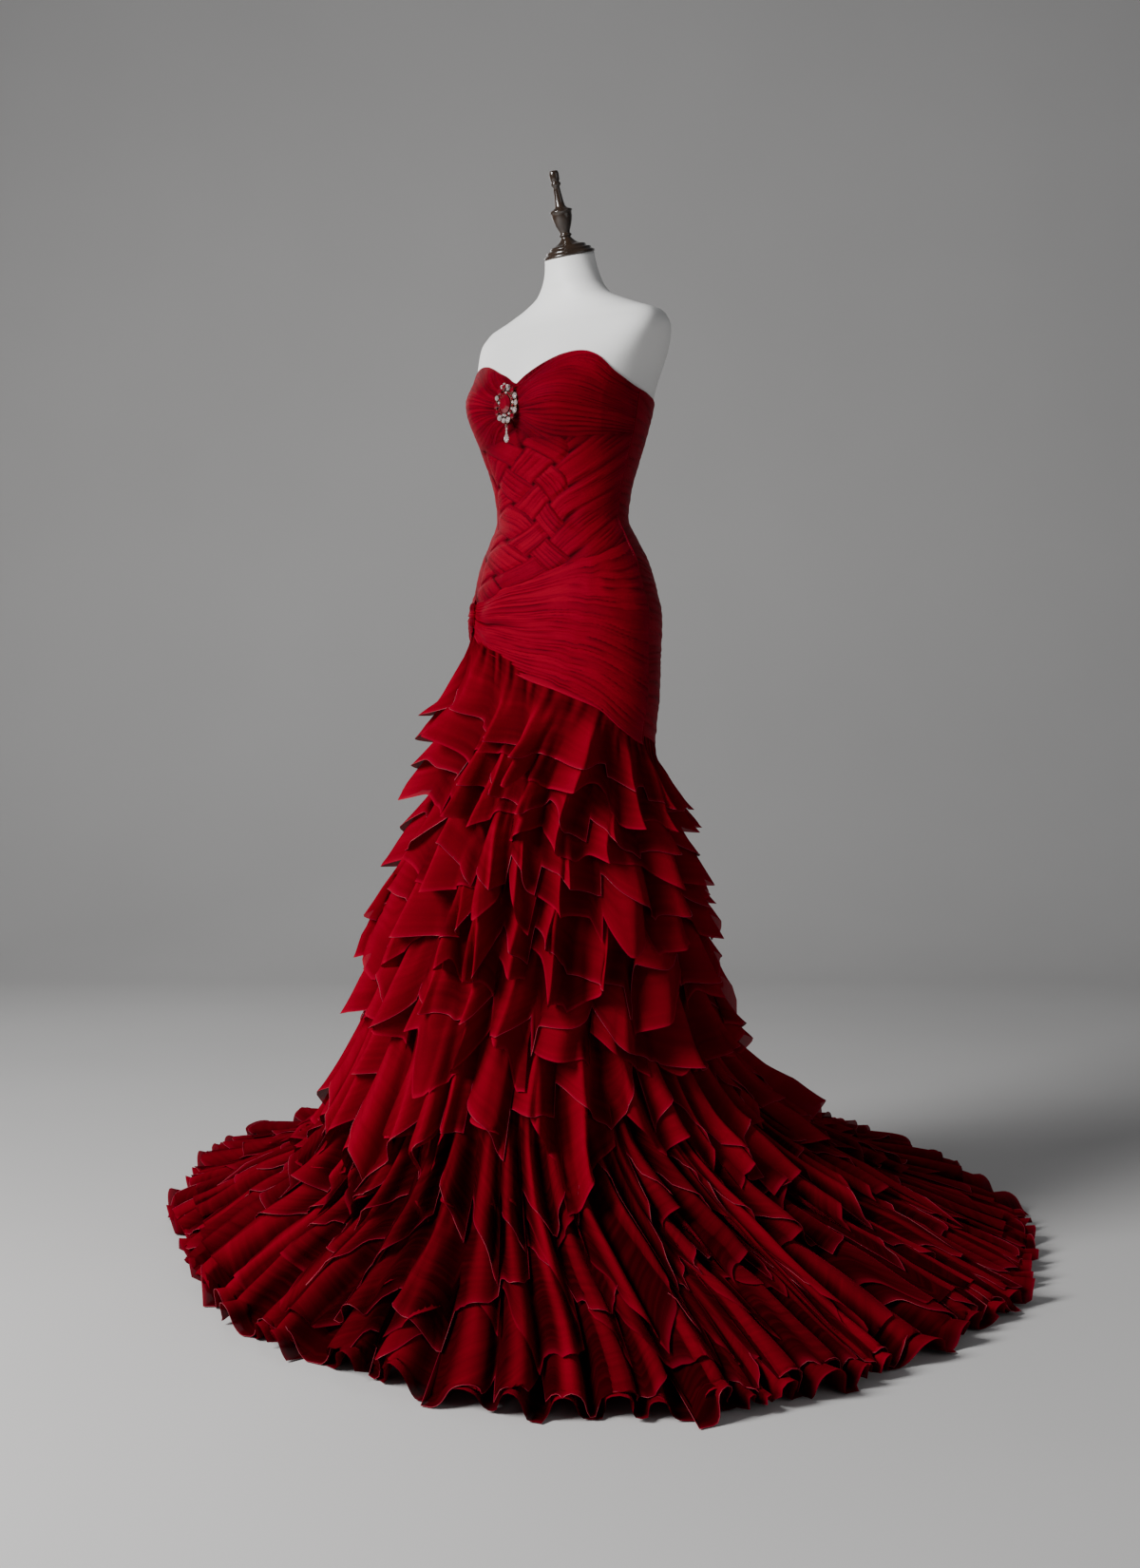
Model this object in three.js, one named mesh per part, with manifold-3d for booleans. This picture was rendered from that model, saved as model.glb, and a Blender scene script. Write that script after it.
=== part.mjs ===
// A strapless, ruched mermaid gown in layered chiffon, worn by a limbless dress form on a pole.
// Millimetres, +Z up. The front faces -Y, the wearer's left is +X, and the origin is on the floor
// under the pole. Angles round the body are in degrees: 0 is the wearer's left side, 90 the centre
// back, 180 the right side and 270 the centre front.
import * as THREE from 'three';
import Module from 'manifold-3d';
import { mergeVertices } from 'three/addons/utils/BufferGeometryUtils.js';

const wasm = await Module();
wasm.setup();

// ---------------------------------------------------------------- driving sizes
const SEAM_GAP = 0.4;        // air between pieces that are sewn edge to edge
const FORM_GAP = 0.6;        // air between the body's surface and the cloth that it wears
const FORM_SLIM = 3.5;       // the form is this much slimmer under the cloth
const FORM_STEPS = 48;       // columns round the form
const BODICE_WALL = 2.2;     // boned bodice with its pleated skin
const WRAP_WALL = 2.6;       // pleated hip drape, several plies
const CHIFFON_WALL = 1.2;    // doubled chiffon flounce
const SKIRT_WALL = 1.6;      // underskirt that carries the flounces
const ROUND_STEPS = 48;      // columns round the skirt
const FLUTES = 16;           // flutes round each flounce
const WAIST_Z = 1225;
const TORSO_FLOOR_Z = 985;   // underside of the form's torso
const SIDE_LEFT = 0;
const CENTRE_BACK = 90;
const SIDE_RIGHT = 180;
const CENTRE_FRONT = 270;
const FULL_TURN = 360;

// A table with named columns: each row becomes an object.
function table(columns, rows) {
  return rows.map((row) => Object.fromEntries(columns.map((name, i) => [name, row[i]])));
}

// Torso sections. half is the half width, front and back the half depths, mid the section's
// centre in Y and square the roundness of the oval (2 is an ellipse).
const TORSO = table(['z', 'half', 'front', 'back', 'mid', 'square'], [
  [985, 171, 107, 121, 0, 2.1],
  [1061, 174, 110, 125, 0, 2.1],
  [1110, 163, 106, 120, 0, 2.1],
  [1155, 148, 100, 110, 0, 2.1],
  [1190, 129, 93, 97, 0, 2.1],
  [1225, 113, 86, 84, 0, 2.1],
  [1265, 118, 88, 86, 0, 2.1],
  [1310, 131, 94, 97, 0, 2.1],
  [1355, 145, 99, 108, 0, 2.1],
  [1405, 156, 100, 117, 0, 2.2],
  [1450, 164, 88, 117, 4, 2.4],
  [1490, 176, 78, 106, 12, 2.7],
  [1525, 184, 64, 86, 20, 2.8],
  [1546, 176, 54, 72, 24, 2.6],
  [1562, 138, 48, 62, 25, 2.4],
  [1578, 98, 45, 55, 25, 2.2],
  [1592, 70, 45, 50, 25, 2.1],
  [1608, 55, 46, 47, 24, 2.0],
]);
// The bust's swell: its apexes' distance from the middle, their height, how far they stand forward,
// and the widths over which the swell dies away outwards, inwards, upwards and downwards.
const BUST = { apart: 78, height: 1404, reach: 44, outer: 46, inner: 62, above: 50, below: 43 };
const NECK = { z: 1656, radius: 41, y: 15, lean: 17 };
const BUST_EDGE = 2.2;       // how fast the swell comes up from the side seams
const BUST_RINGS = [1332, 1380, 1427, 1470];   // more rings where the bust rounds

// Skirt sections: the reach from the pole to each side, front and back, and how far the outline
// has gone over to the hem's own outline (spread, from 0 to 1).
const SKIRT = table(['z', 'left', 'right', 'front', 'back', 'spread'], [
  [1070, 174, 174, 110, 125, 0],
  [1000, 173, 173, 109, 123, 0],
  [930, 170, 171, 108, 120, 0],
  [858, 162, 184, 124, 117, 0],
  [764, 166, 206, 166, 132, 0],
  [650, 186, 248, 214, 168, 0],
  [520, 200, 284, 256, 218, 0],
  [390, 216, 312, 284, 268, 0],
  [270, 240, 340, 308, 330, 0.04],
  [170, 276, 368, 332, 400, 0.16],
  [90, 330, 420, 372, 480, 0.38],
  [35, 400, 480, 420, 580, 0.68],
  [1.5, 480, 560, 480, 700, 1],
]);

// The flounces. A seam or hem is a share of the way down, from 0 at the drape's slanted foot to 1 on
// the floor; the hem stands off the underskirt by stand, and its flutes swing by swing about that.
const TIERS = table(['seam', 'hem', 'stand', 'swing'], [
  [0.005, 0.150, 40, 15],
  [0.120, 0.262, 40, 15],
  [0.232, 0.374, 40, 15],
  [0.344, 0.486, 40, 15],
  [0.456, 0.598, 40, 15],
  [0.562, 0.706, 40, 15],
  [0.662, 0.810, 42, 16],
  [0.762, 0.894, 44, 17],
  [0.850, 1.000, 26, 12],
]);
const SKIRT_ROWS = [...TIERS.slice(1).map(({ seam }) => seam), 0.92, 0.965, 1];

// The hem's outline on the floor: the train is swept round to the wearer's right and back.
const HEM = table(['angle', 'reach'], [
  [0, 655], [30, 718], [60, 822], [90, 990], [120, 1180], [147, 1240], [168, 1080],
  [195, 765], [222, 590], [250, 552], [283, 572], [306, 648], [335, 668], [360, 655],
]);

// Edges round the body: the height of each at an angle.
const NECKLINE = table(['angle', 'z'], [
  [0, 1418], [45, 1398], [90, 1386], [135, 1398], [180, 1418], [206, 1440], [240, 1478],
  [256, 1464], [270, 1432], [284, 1464], [300, 1478], [334, 1440], [360, 1418],
]);
const BAND_FOOT = table(['angle', 'z'], [
  [180, 1349], [225, 1340], [250, 1338], [270, 1353], [290, 1338], [315, 1340], [360, 1349],
]);
const WRAP_HEAD = table(['angle', 'z'], [
  [180, 1150], [210, 1112], [233, 1086], [272, 1118], [318, 1154], [345, 1176], [360, 1186],
]);
const WRAP_FOOT = table(['angle', 'z'], [
  [0, 862], [25, 846], [90, 852], [140, 900], [185, 975], [214, 1030], [233, 1052],
  [243, 1012], [286, 958], [318, 926], [345, 880], [360, 862],
]);
// The knot: its place, how far its axis stands off the hip, and half the gap that it fills in degrees.
const KNOT = { angle: 233, z: 1070, seat: 13.4, clear: 4 };

// ---------------------------------------------------------------- small mathematics
const radians = THREE.MathUtils.degToRad;
const wrap = (angle) => ((angle % FULL_TURN) + FULL_TURN) % FULL_TURN;
// A ripple between 0 and 1 that repeats at each whole number.
const ripple = (turns) => 0.5 + 0.5 * Math.cos(turns * Math.PI * 2);
const profile2 = (points) => points.map(([radius, height]) => new THREE.Vector2(radius, height));
const power = (value, exponent) => Math.sign(value) * Math.abs(value) ** exponent;

// Linear reading of a column from a table whose key runs one way.
function read(rows, key, at, column) {
  const rising = rows[0][key] < rows[rows.length - 1][key];
  const list = rising ? rows : [...rows].reverse();
  if (at <= list[0][key]) return list[0][column];
  for (let i = 1; i < list.length; i += 1) {
    if (at <= list[i][key]) {
      const share = (at - list[i - 1][key]) / (list[i][key] - list[i - 1][key]);
      return THREE.MathUtils.lerp(list[i - 1][column], list[i][column], share);
    }
  }
  return list[list.length - 1][column];
}

// The same, eased between rows, for curves that must not kink.
function readSmooth(rows, key, at, column) {
  for (let i = 1; i < rows.length; i += 1) {
    if (at <= rows[i][key]) {
      const share = (at - rows[i - 1][key]) / (rows[i][key] - rows[i - 1][key]);
      const eased = share * share * (3 - 2 * share);
      return THREE.MathUtils.lerp(rows[i - 1][column], rows[i][column], (eased + share) / 2);
    }
  }
  return rows[rows.length - 1][column];
}

// How far the bust stands forward of the plain section, at x and z.
function bustRelief(x, z) {
  const side = Math.abs(x) - BUST.apart;
  const rise = z - BUST.height;
  const wide = side < 0 ? BUST.inner : BUST.outer;
  const tall = rise > 0 ? BUST.above : BUST.below;
  return BUST.reach * Math.exp(-(side ** 2) / (2 * wide ** 2) - (rise ** 2) / (2 * tall ** 2));
}

// A point on the torso's surface, moved out by off.
function torsoPoint(angle, z, off) {
  const [c, s] = [Math.cos(radians(angle)), Math.sin(radians(angle))];
  const e = 2 / read(TORSO, 'z', z, 'square');
  const depth = read(TORSO, 'z', z, s > 0 ? 'back' : 'front') + off;
  const x = (read(TORSO, 'z', z, 'half') + off) * power(c, e);
  const y = read(TORSO, 'z', z, 'mid') + depth * power(s, e);
  const relief = bustRelief(x, z) * THREE.MathUtils.clamp(-s * BUST_EDGE, 0, 1);
  return new THREE.Vector3(x, y - relief, z);
}

// A point on the skirt's outline at an angle and height, moved out by off.
function skirtPoint(angle, z, off) {
  const [c, s] = [Math.cos(radians(angle)), Math.sin(radians(angle))];
  const across = read(SKIRT, 'z', z, c > 0 ? 'left' : 'right') + off;
  const depth = read(SKIRT, 'z', z, s > 0 ? 'back' : 'front') + off;
  const spread = read(SKIRT, 'z', z, 'spread');
  const hem = readSmooth(HEM, 'angle', wrap(angle), 'reach') + off;
  return new THREE.Vector3(
    THREE.MathUtils.lerp(across * c, hem * c, spread),
    THREE.MathUtils.lerp(depth * s, hem * s, spread),
    z,
  );
}

// ---------------------------------------------------------------- cloth walls
// A wall of the given thickness about a grid of points. Rows run down and columns run
// anticlockwise seen from above; a closed wall joins its last column to its first.
function wallGeometry(grid, thickness, closed) {
  const [rows, cols] = [grid.length, grid[0].length];
  const at = (r, c) => grid[Math.min(Math.max(r, 0), rows - 1)][
    closed ? (c + cols) % cols : Math.min(Math.max(c, 0), cols - 1)];
  const faces = [[], []];
  for (let r = 0; r < rows; r += 1) {
    for (let c = 0; c < cols; c += 1) {
      const down = at(r + 1, c).clone().sub(at(r - 1, c));
      const along = at(r, c + 1).clone().sub(at(r, c - 1));
      const normal = down.cross(along).normalize().multiplyScalar(thickness / 2);
      faces[0].push(at(r, c).clone().add(normal));
      faces[1].push(at(r, c).clone().sub(normal));
    }
  }
  const positions = faces.flat().flatMap((p) => [p.x, p.y, Math.max(p.z, 0)]);
  const outer = (r, c) => r * cols + (closed ? c % cols : c);
  const inner = (r, c) => rows * cols + outer(r, c);
  const index = [];
  const quad = (a, b, c, d) => index.push(a, b, c, a, c, d);
  const spans = closed ? cols : cols - 1;
  for (let c = 0; c < spans; c += 1) {
    for (let r = 0; r < rows - 1; r += 1) {
      quad(outer(r, c), outer(r + 1, c), outer(r + 1, c + 1), outer(r, c + 1));
      quad(inner(r, c), inner(r, c + 1), inner(r + 1, c + 1), inner(r + 1, c));
    }
    quad(outer(0, c), outer(0, c + 1), inner(0, c + 1), inner(0, c));
    quad(outer(rows - 1, c + 1), outer(rows - 1, c), inner(rows - 1, c), inner(rows - 1, c + 1));
  }
  if (!closed) {
    for (let r = 0; r < rows - 1; r += 1) {
      quad(outer(r + 1, 0), outer(r, 0), inner(r, 0), inner(r + 1, 0));
      quad(outer(r, cols - 1), outer(r + 1, cols - 1), inner(r + 1, cols - 1), inner(r, cols - 1));
    }
  }
  const geometry = new THREE.BufferGeometry();
  geometry.setAttribute('position', new THREE.Float32BufferAttribute(positions, 3));
  geometry.setIndex(index);
  return geometry;
}

// A panel between two seams: surface(angle, z, share down) gives each point of its mid surface, and
// insets say how far its first and last columns stay back from their seams at a share down.
const seamInset = () => SEAM_GAP / 2;
const along = (angle) => new THREE.Vector3(-Math.sin(radians(angle)), Math.cos(radians(angle)), 0);
function panelGrid({ from, to, rows, head, foot, surface, insets = [seamInset, seamInset] }) {
  const angles = columnAngles(from, to);
  return Array.from({ length: rows + 1 }, (_, r) => angles.map((angle, c) => {
    const down = r / rows;
    const z = THREE.MathUtils.lerp(head(angle), foot(angle), down);
    const inset = Number(c === 0) * insets[0](down)
      - Number(c === angles.length - 1) * insets[1](down);
    return surface(angle, z, down).addScaledVector(along(angle), inset);
  }));
}

// ---------------------------------------------------------------- materials
const cloth = (color) => new THREE.MeshStandardMaterial({ color, roughness: 0.75, metalness: 0 });
const CRIMSON = cloth(0x96071c);
const CRIMSON_DEEP = cloth(0x7d0517);
const CRIMSON_LINING = cloth(0x5e0412);
const FORM_WHITE = new THREE.MeshStandardMaterial({ color: 0xf3f1ec, roughness: 0.55, metalness: 0 });
const DARK_WOOD = new THREE.MeshStandardMaterial({ color: 0x1c1410, roughness: 0.25, metalness: 0 });
const STEEL = new THREE.MeshStandardMaterial({ color: 0xb9bbbd, roughness: 0.3, metalness: 1 });
const SILVER = new THREE.MeshStandardMaterial({ color: 0xd9d4cc, roughness: 0.2, metalness: 1 });
const RUBY = new THREE.MeshStandardMaterial({ color: 0xb40818, roughness: 0.1, metalness: 0 });

const gown = new THREE.Group();
function add(name, geometry, material) {
  const mesh = new THREE.Mesh(geometry, material);
  mesh.name = name;
  gown.add(mesh);
  return mesh;
}

// ---------------------------------------------------------------- solids joined and cut
function solid(geometry, matrix = new THREE.Matrix4()) {
  const bare = geometry.clone().applyMatrix4(matrix);
  bare.deleteAttribute('normal');
  bare.deleteAttribute('uv');
  const merged = mergeVertices(bare, 1e-4);
  return new wasm.Manifold(new wasm.Mesh({
    numProp: 3,
    vertProperties: new Float32Array(merged.attributes.position.array),
    triVerts: new Uint32Array(merged.index.array),
  }));
}

function geometryOf(manifold) {
  const mesh = manifold.getMesh();
  const geometry = new THREE.BufferGeometry();
  geometry.setAttribute('position', new THREE.Float32BufferAttribute(mesh.vertProperties, 3));
  geometry.setIndex(Array.from(mesh.triVerts));
  return geometry;
}

const move = (x, y, z) => new THREE.Matrix4().makeTranslation(x, y, z);
const turnX = (degrees) => new THREE.Matrix4().makeRotationX(radians(degrees));
const turnY = (degrees) => new THREE.Matrix4().makeRotationY(radians(degrees));
const turnZ = (degrees) => new THREE.Matrix4().makeRotationZ(radians(degrees));
const chain = (...matrices) => matrices.reduce((all, m) => all.multiply(m), new THREE.Matrix4());

// ---------------------------------------------------------------- dress form and its stand
const POLE = { radius: 16, foot: 26 };
const BASE = { radius: 150, thick: 8, edge: 4, crown: 2, hub: 30, hubTop: 26 };
const SLIM_FADE = { start: 4, length: 24 };   // the form grows to full size over this, at the neckline

// The torso: rings up the sections, then the neck, whose top leans forward.
function torsoForm() {
  const steps = FORM_STEPS;
  const turned = (i) => (i * FULL_TURN) / steps;
  const heights = [...new Set([...TORSO.map(({ z }) => z), ...BUST_RINGS])].sort((a, b) => a - b);
  const rings = heights.map((z) => Array.from({ length: steps }, (_, i) => {
    const depth = neckline(turned(i)) + SLIM_FADE.start - z;
    const covered = THREE.MathUtils.clamp(depth / SLIM_FADE.length, 0, 1);
    return torsoPoint(turned(i), z, -FORM_SLIM * covered);
  }));
  const neckTop = new THREE.Vector3(0, NECK.y, NECK.z);
  const lean = turnX(NECK.lean);
  rings.push(Array.from({ length: steps }, (_, i) => {
    const turn = radians(turned(i));
    return new THREE.Vector3(NECK.radius * Math.cos(turn), NECK.radius * Math.sin(turn), 0)
      .applyMatrix4(lean).add(neckTop);
  }));
  const caps = [new THREE.Vector3(0, 0, TORSO_FLOOR_Z), neckTop];
  const positions = [...rings.flat(), ...caps].flatMap((p) => [p.x, p.y, p.z]);
  const [low, high] = [rings.length * steps, rings.length * steps + 1];
  const index = [];
  for (let i = 0; i < steps; i += 1) {
    const j = (i + 1) % steps;
    for (let r = 0; r < rings.length - 1; r += 1) {
      const [a, b] = [r * steps, (r + 1) * steps];
      index.push(a + i, a + j, b + j, a + i, b + j, b + i);
    }
    const top = (rings.length - 1) * steps;
    index.push(low, j, i, high, top + i, top + j);
  }
  const geometry = new THREE.BufferGeometry();
  geometry.setAttribute('position', new THREE.Float32BufferAttribute(positions, 3));
  geometry.setIndex(index);
  return geometry;
}

// A turned solid about Z from a profile of [radius, height] points that starts and ends on the axis.
function lathe(profile, steps) {
  return new THREE.LatheGeometry(profile2(profile), steps).applyMatrix4(turnX(90));
}

// The neck cap steps up like a stack of discs to a waisted baluster and a small knob.
const CAP_PROFILE = [
  [0, 0], [42, 0], [42, 4], [38, 6.5], [37, 10], [31, 11.5], [29, 16], [21, 18], [14, 22.5],
  [10, 27], [8, 30], [11, 33], [8, 36], [9, 40], [13, 49], [16.5, 61], [17, 68], [18.5, 70],
  [18.5, 72], [12, 75], [8.5, 79], [6.5, 94], [5.5, 109], [8, 112], [8, 115], [6, 117],
  [7.5, 120], [8, 129], [6.5, 134], [0, 135],
];

function buildForm() {
  add('form_torso', torsoForm(), FORM_WHITE);
  const cap = add('form_neck_cap', lathe(CAP_PROFILE, 16), DARK_WOOD);
  cap.rotation.x = radians(NECK.lean);
  cap.position.set(0, NECK.y, NECK.z + SEAM_GAP);
  const height = TORSO_FLOOR_Z - BASE.hubTop - SEAM_GAP * 2;
  const pole = add('form_pole', new THREE.CylinderGeometry(POLE.radius, POLE.radius, height, 20), STEEL);
  pole.rotation.x = radians(90);
  pole.position.z = BASE.hubTop + SEAM_GAP + height / 2;
  add('form_base', lathe([
    [0, 0], [BASE.radius, 0], [BASE.radius, BASE.thick - BASE.crown],
    [BASE.radius - BASE.edge, BASE.thick], [BASE.hub, BASE.thick + BASE.crown],
    [POLE.foot, BASE.hubTop], [0, BASE.hubTop],
  ], 32), STEEL);
}

// ---------------------------------------------------------------- edges and columns
const STEP = FULL_TURN / ROUND_STEPS;

// An edge that runs straight between the columns, so that neighbours share it exactly.
function columnEdge(rows) {
  const at = (column) => readSmooth(rows, 'angle', column * STEP, 'z');
  return (angle) => {
    const column = Math.floor(angle / STEP);
    return THREE.MathUtils.lerp(at(column), at(column + 1), angle / STEP - column);
  };
}

// The columns' angles from one seam to another, with the seams' own angles at the ends.
function columnAngles(from, to) {
  const inner = [];
  for (let angle = Math.ceil((from + 1) / STEP) * STEP; angle < to - 1; angle += STEP) {
    inner.push(angle);
  }
  return [from, ...inner, to];
}

// ---------------------------------------------------------------- bodice
const BODICE_OFF = FORM_GAP + BODICE_WALL / 2;
const neckline = columnEdge(NECKLINE);
const bandFoot = columnEdge(BAND_FOOT);
const wrapHead = columnEdge(WRAP_HEAD);
const wrapFoot = columnEdge(WRAP_FOOT);
const RELIEF = 1.1;          // height of the modelled pleats
const CUP = { pleats: 3, lift: 0.4, rows: 6 };
const STRAP = { round: 0.035, down: 0.015, rows: 6 };   // straps for each degree and millimetre
const BACK = { pleats: 5, relief: 0.6, rows: 12 };
const HIP_EASE = 2;          // the back panels swing this far out below the form

// The cups lean towards each other in the valley between them, so their edges stay further back.
const valleyInset = () => SEAM_GAP * 1.2;

// Pleats of a bust cup run from the gather at the centre front out to the side seam.
function cupSurface(angle, z, down) {
  return torsoPoint(angle, z, BODICE_OFF + CUP.lift + RELIEF * ripple(down * CUP.pleats));
}

// Below the bust, pleated straps cross each other on the slant.
function strapSurface(angle, z) {
  const slant = angle * STRAP.round + (z - WAIST_Z) * STRAP.down;
  return torsoPoint(angle, z, BODICE_OFF + RELIEF * ripple(slant));
}

// The hips below the form's underside follow the skirt's sections.
function hipPoint(angle, z, off) {
  return z > TORSO_FLOOR_Z ? torsoPoint(angle, z, off) : skirtPoint(angle, z, off + HIP_EASE);
}

function backSurface(angle, z, down) {
  return hipPoint(angle, z, BODICE_OFF + BACK.relief * RELIEF * ripple(down * BACK.pleats));
}
const backFoot = (angle) => wrapFoot(angle) + SEAM_GAP;

function buildBodice() {
  const panel = (name, parts) => {
    add(name, wallGeometry(panelGrid(parts), BODICE_WALL, false), CRIMSON);
  };
  const cup = (name, from, to, insets) => panel(name, {
    from, to, rows: CUP.rows, insets,
    head: neckline, foot: (angle) => bandFoot(angle) + SEAM_GAP, surface: cupSurface,
  });
  cup('bust_cup_right', SIDE_RIGHT, CENTRE_FRONT, [seamInset, valleyInset]);
  cup('bust_cup_left', CENTRE_FRONT, FULL_TURN, [valleyInset, seamInset]);
  panel('bodice_front', {
    from: SIDE_RIGHT, to: FULL_TURN, rows: STRAP.rows,
    head: bandFoot,
    foot: (angle) => wrapHead(angle) + SEAM_GAP * 2,
    surface: strapSurface,
  });
  const zipInset = (down) => (down <= ZIP.share ? ZIP.half + SEAM_GAP : SEAM_GAP / 2);
  const backPanel = (name, from, to, insets) => panel(name, {
    from, to, rows: BACK.rows, insets,
    head: neckline, foot: backFoot, surface: backSurface,
  });
  backPanel('bodice_back_left', SIDE_LEFT, CENTRE_BACK, [seamInset, zipInset]);
  backPanel('bodice_back_right', CENTRE_BACK, SIDE_RIGHT, [zipInset, seamInset]);
}

// ---------------------------------------------------------------- hip drape
// Pleats fan from the knot: the further from it, the lower and wider they spread.
const DRAPE = { lift: 1.8, puff: 3.2, spread: 60, pleats: 3, rows: 6 };
function drapeSurface(angle, z, down) {
  const away = Math.min(1, Math.abs(angle - KNOT.angle) / DRAPE.spread);
  const puff = DRAPE.puff * Math.sin(Math.PI * down) * away;
  const pleat = RELIEF * (2 * ripple(down * DRAPE.pleats) - 1);
  return hipPoint(angle, z, BODICE_OFF + DRAPE.lift + puff + pleat);
}

// The knot is a short loop of cloth that pinches the drape: a stout spindle with a waist.
const KNOT_PROFILE = [
  [0, -27], [9, -24], [12, -15], [8.5, -4], [8, 4], [11, 15], [8, 24], [0, 27],
];

function buildDrape() {
  const half = (name, from, to) => {
    const foot = (angle) => wrapFoot(angle) + SEAM_GAP;
    const grid = panelGrid({ from, to, rows: DRAPE.rows, head: wrapHead, foot, surface: drapeSurface });
    add(name, wallGeometry(grid, WRAP_WALL, false), CRIMSON);
  };
  half('hip_drape_left', KNOT.angle + KNOT.clear, FULL_TURN);
  half('hip_drape_right', SIDE_RIGHT, KNOT.angle - KNOT.clear);
  const knot = add('hip_knot', lathe(KNOT_PROFILE, 12), CRIMSON);
  knot.position.copy(torsoPoint(KNOT.angle, KNOT.z, KNOT.seat));
}

// ---------------------------------------------------------------- centre-back zip
// share is how far down the back the zip runs, a whole number of the panels' rows.
const ZIP = { share: 8 / BACK.rows, half: 1.6, stop: 4, rows: 9 };
// The slider's body, its arch with a window, and the pull: bar, two arms and a tab.
const SLIDER = { below: 12, wide: 5.2, thick: 2.4, tall: 11, arch: 1.8, rise: 6.1, length: 8 };
const WINDOW = { wide: 4, deep: 2.2, tall: 5, at: 3.6 };
const PULL = { bar: 0.7, wide: 5.4, thick: 1.3, arm: 1, armAt: 2.1, armLength: 7, tab: 22 };

function backOutside(z) {
  return torsoPoint(CENTRE_BACK, z, BODICE_OFF).y;
}

function buildZip() {
  // The closed teeth: a narrow wall up the gap between the back panels.
  const top = neckline(CENTRE_BACK);
  const foot = THREE.MathUtils.lerp(top, backFoot(CENTRE_BACK), ZIP.share);
  const grid = Array.from({ length: ZIP.rows + 1 }, (_, r) => {
    const z = THREE.MathUtils.lerp(top - ZIP.stop, foot, r / ZIP.rows);
    return [ZIP.half, -ZIP.half].map((x) => new THREE.Vector3(x, backOutside(z), z));
  });
  add('zip_teeth', wallGeometry(grid, BODICE_WALL, false), CRIMSON_DEEP);

  const z = top - SLIDER.below;
  const reach = Math.max(backOutside(z - SLIDER.tall / 2), backOutside(z + SLIDER.tall / 2));
  const face = reach + BODICE_WALL / 2 + SEAM_GAP;
  const body = new THREE.BoxGeometry(SLIDER.wide, SLIDER.thick, SLIDER.tall);
  const arch = new THREE.BoxGeometry(SLIDER.arch, SLIDER.rise - SLIDER.thick / 2, SLIDER.length);
  const archAt = (SLIDER.rise + SLIDER.thick / 2) / 2;
  const window = new THREE.BoxGeometry(WINDOW.wide, WINDOW.deep, WINDOW.tall);
  const slider = solid(body, move(0, SLIDER.thick / 2, 0))
    .add(solid(arch, move(0, archAt, 0)))
    .subtract(solid(window, move(0, WINDOW.at, 0)));
  add('zip_slider', geometryOf(slider), SILVER).position.set(0, face, z);

  const bar = new THREE.CylinderGeometry(PULL.bar, PULL.bar, PULL.armAt * 2 + PULL.arm, 10);
  const arm = new THREE.BoxGeometry(PULL.arm, PULL.thick, PULL.armLength);
  const tab = new THREE.BoxGeometry(PULL.wide, PULL.thick, PULL.tab);
  const armDrop = PULL.bar / 2 - PULL.armLength / 2;
  const pull = solid(bar, turnZ(90))
    .add(solid(arm, move(PULL.armAt, 0, armDrop)))
    .add(solid(arm, move(-PULL.armAt, 0, armDrop)))
    .add(solid(tab, move(0, 0, armDrop * 2 - PULL.tab / 2)));
  add('zip_pull', geometryOf(pull), SILVER).position.set(0, face + WINDOW.at, z);
}

// ---------------------------------------------------------------- brooch at the centre front
// The setting is an oval plate ringed with stones; the drop hangs in a ring below it.
const BROOCH = { z: 1396, back: -131, half: 25, tall: 31, inside: 0.82, thick: 3 };
const STONES = { count: 12, radius: 5.4, squash: 0.7, proud: 1.2, ring: 0.8 };
const LINK = { radius: 2.2, wire: 0.5, below: 5.6, neck: 1.4, neckLength: 5, neckAt: 3.9, hang: 3.3 };
const DROP_STONES = table(['z', 'radius'], [[-7.9, 2.4], [-12.2, 2.4]]);
const GEM = { stretch: 1.28, gap: 0.4 };
const GEM_PROFILE = [[0, 0], [9, 0], [9.6, 1.6], [7, 5.4], [4, 6.4], [0, 6.4]];
const PEAR_PROFILE = [
  [0, -30], [2.8, -28.6], [4.6, -25], [4.2, -21], [2.4, -17], [0.9, -13.2], [0, -13],
];
const PEAR_SQUASH = 0.75;

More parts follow.
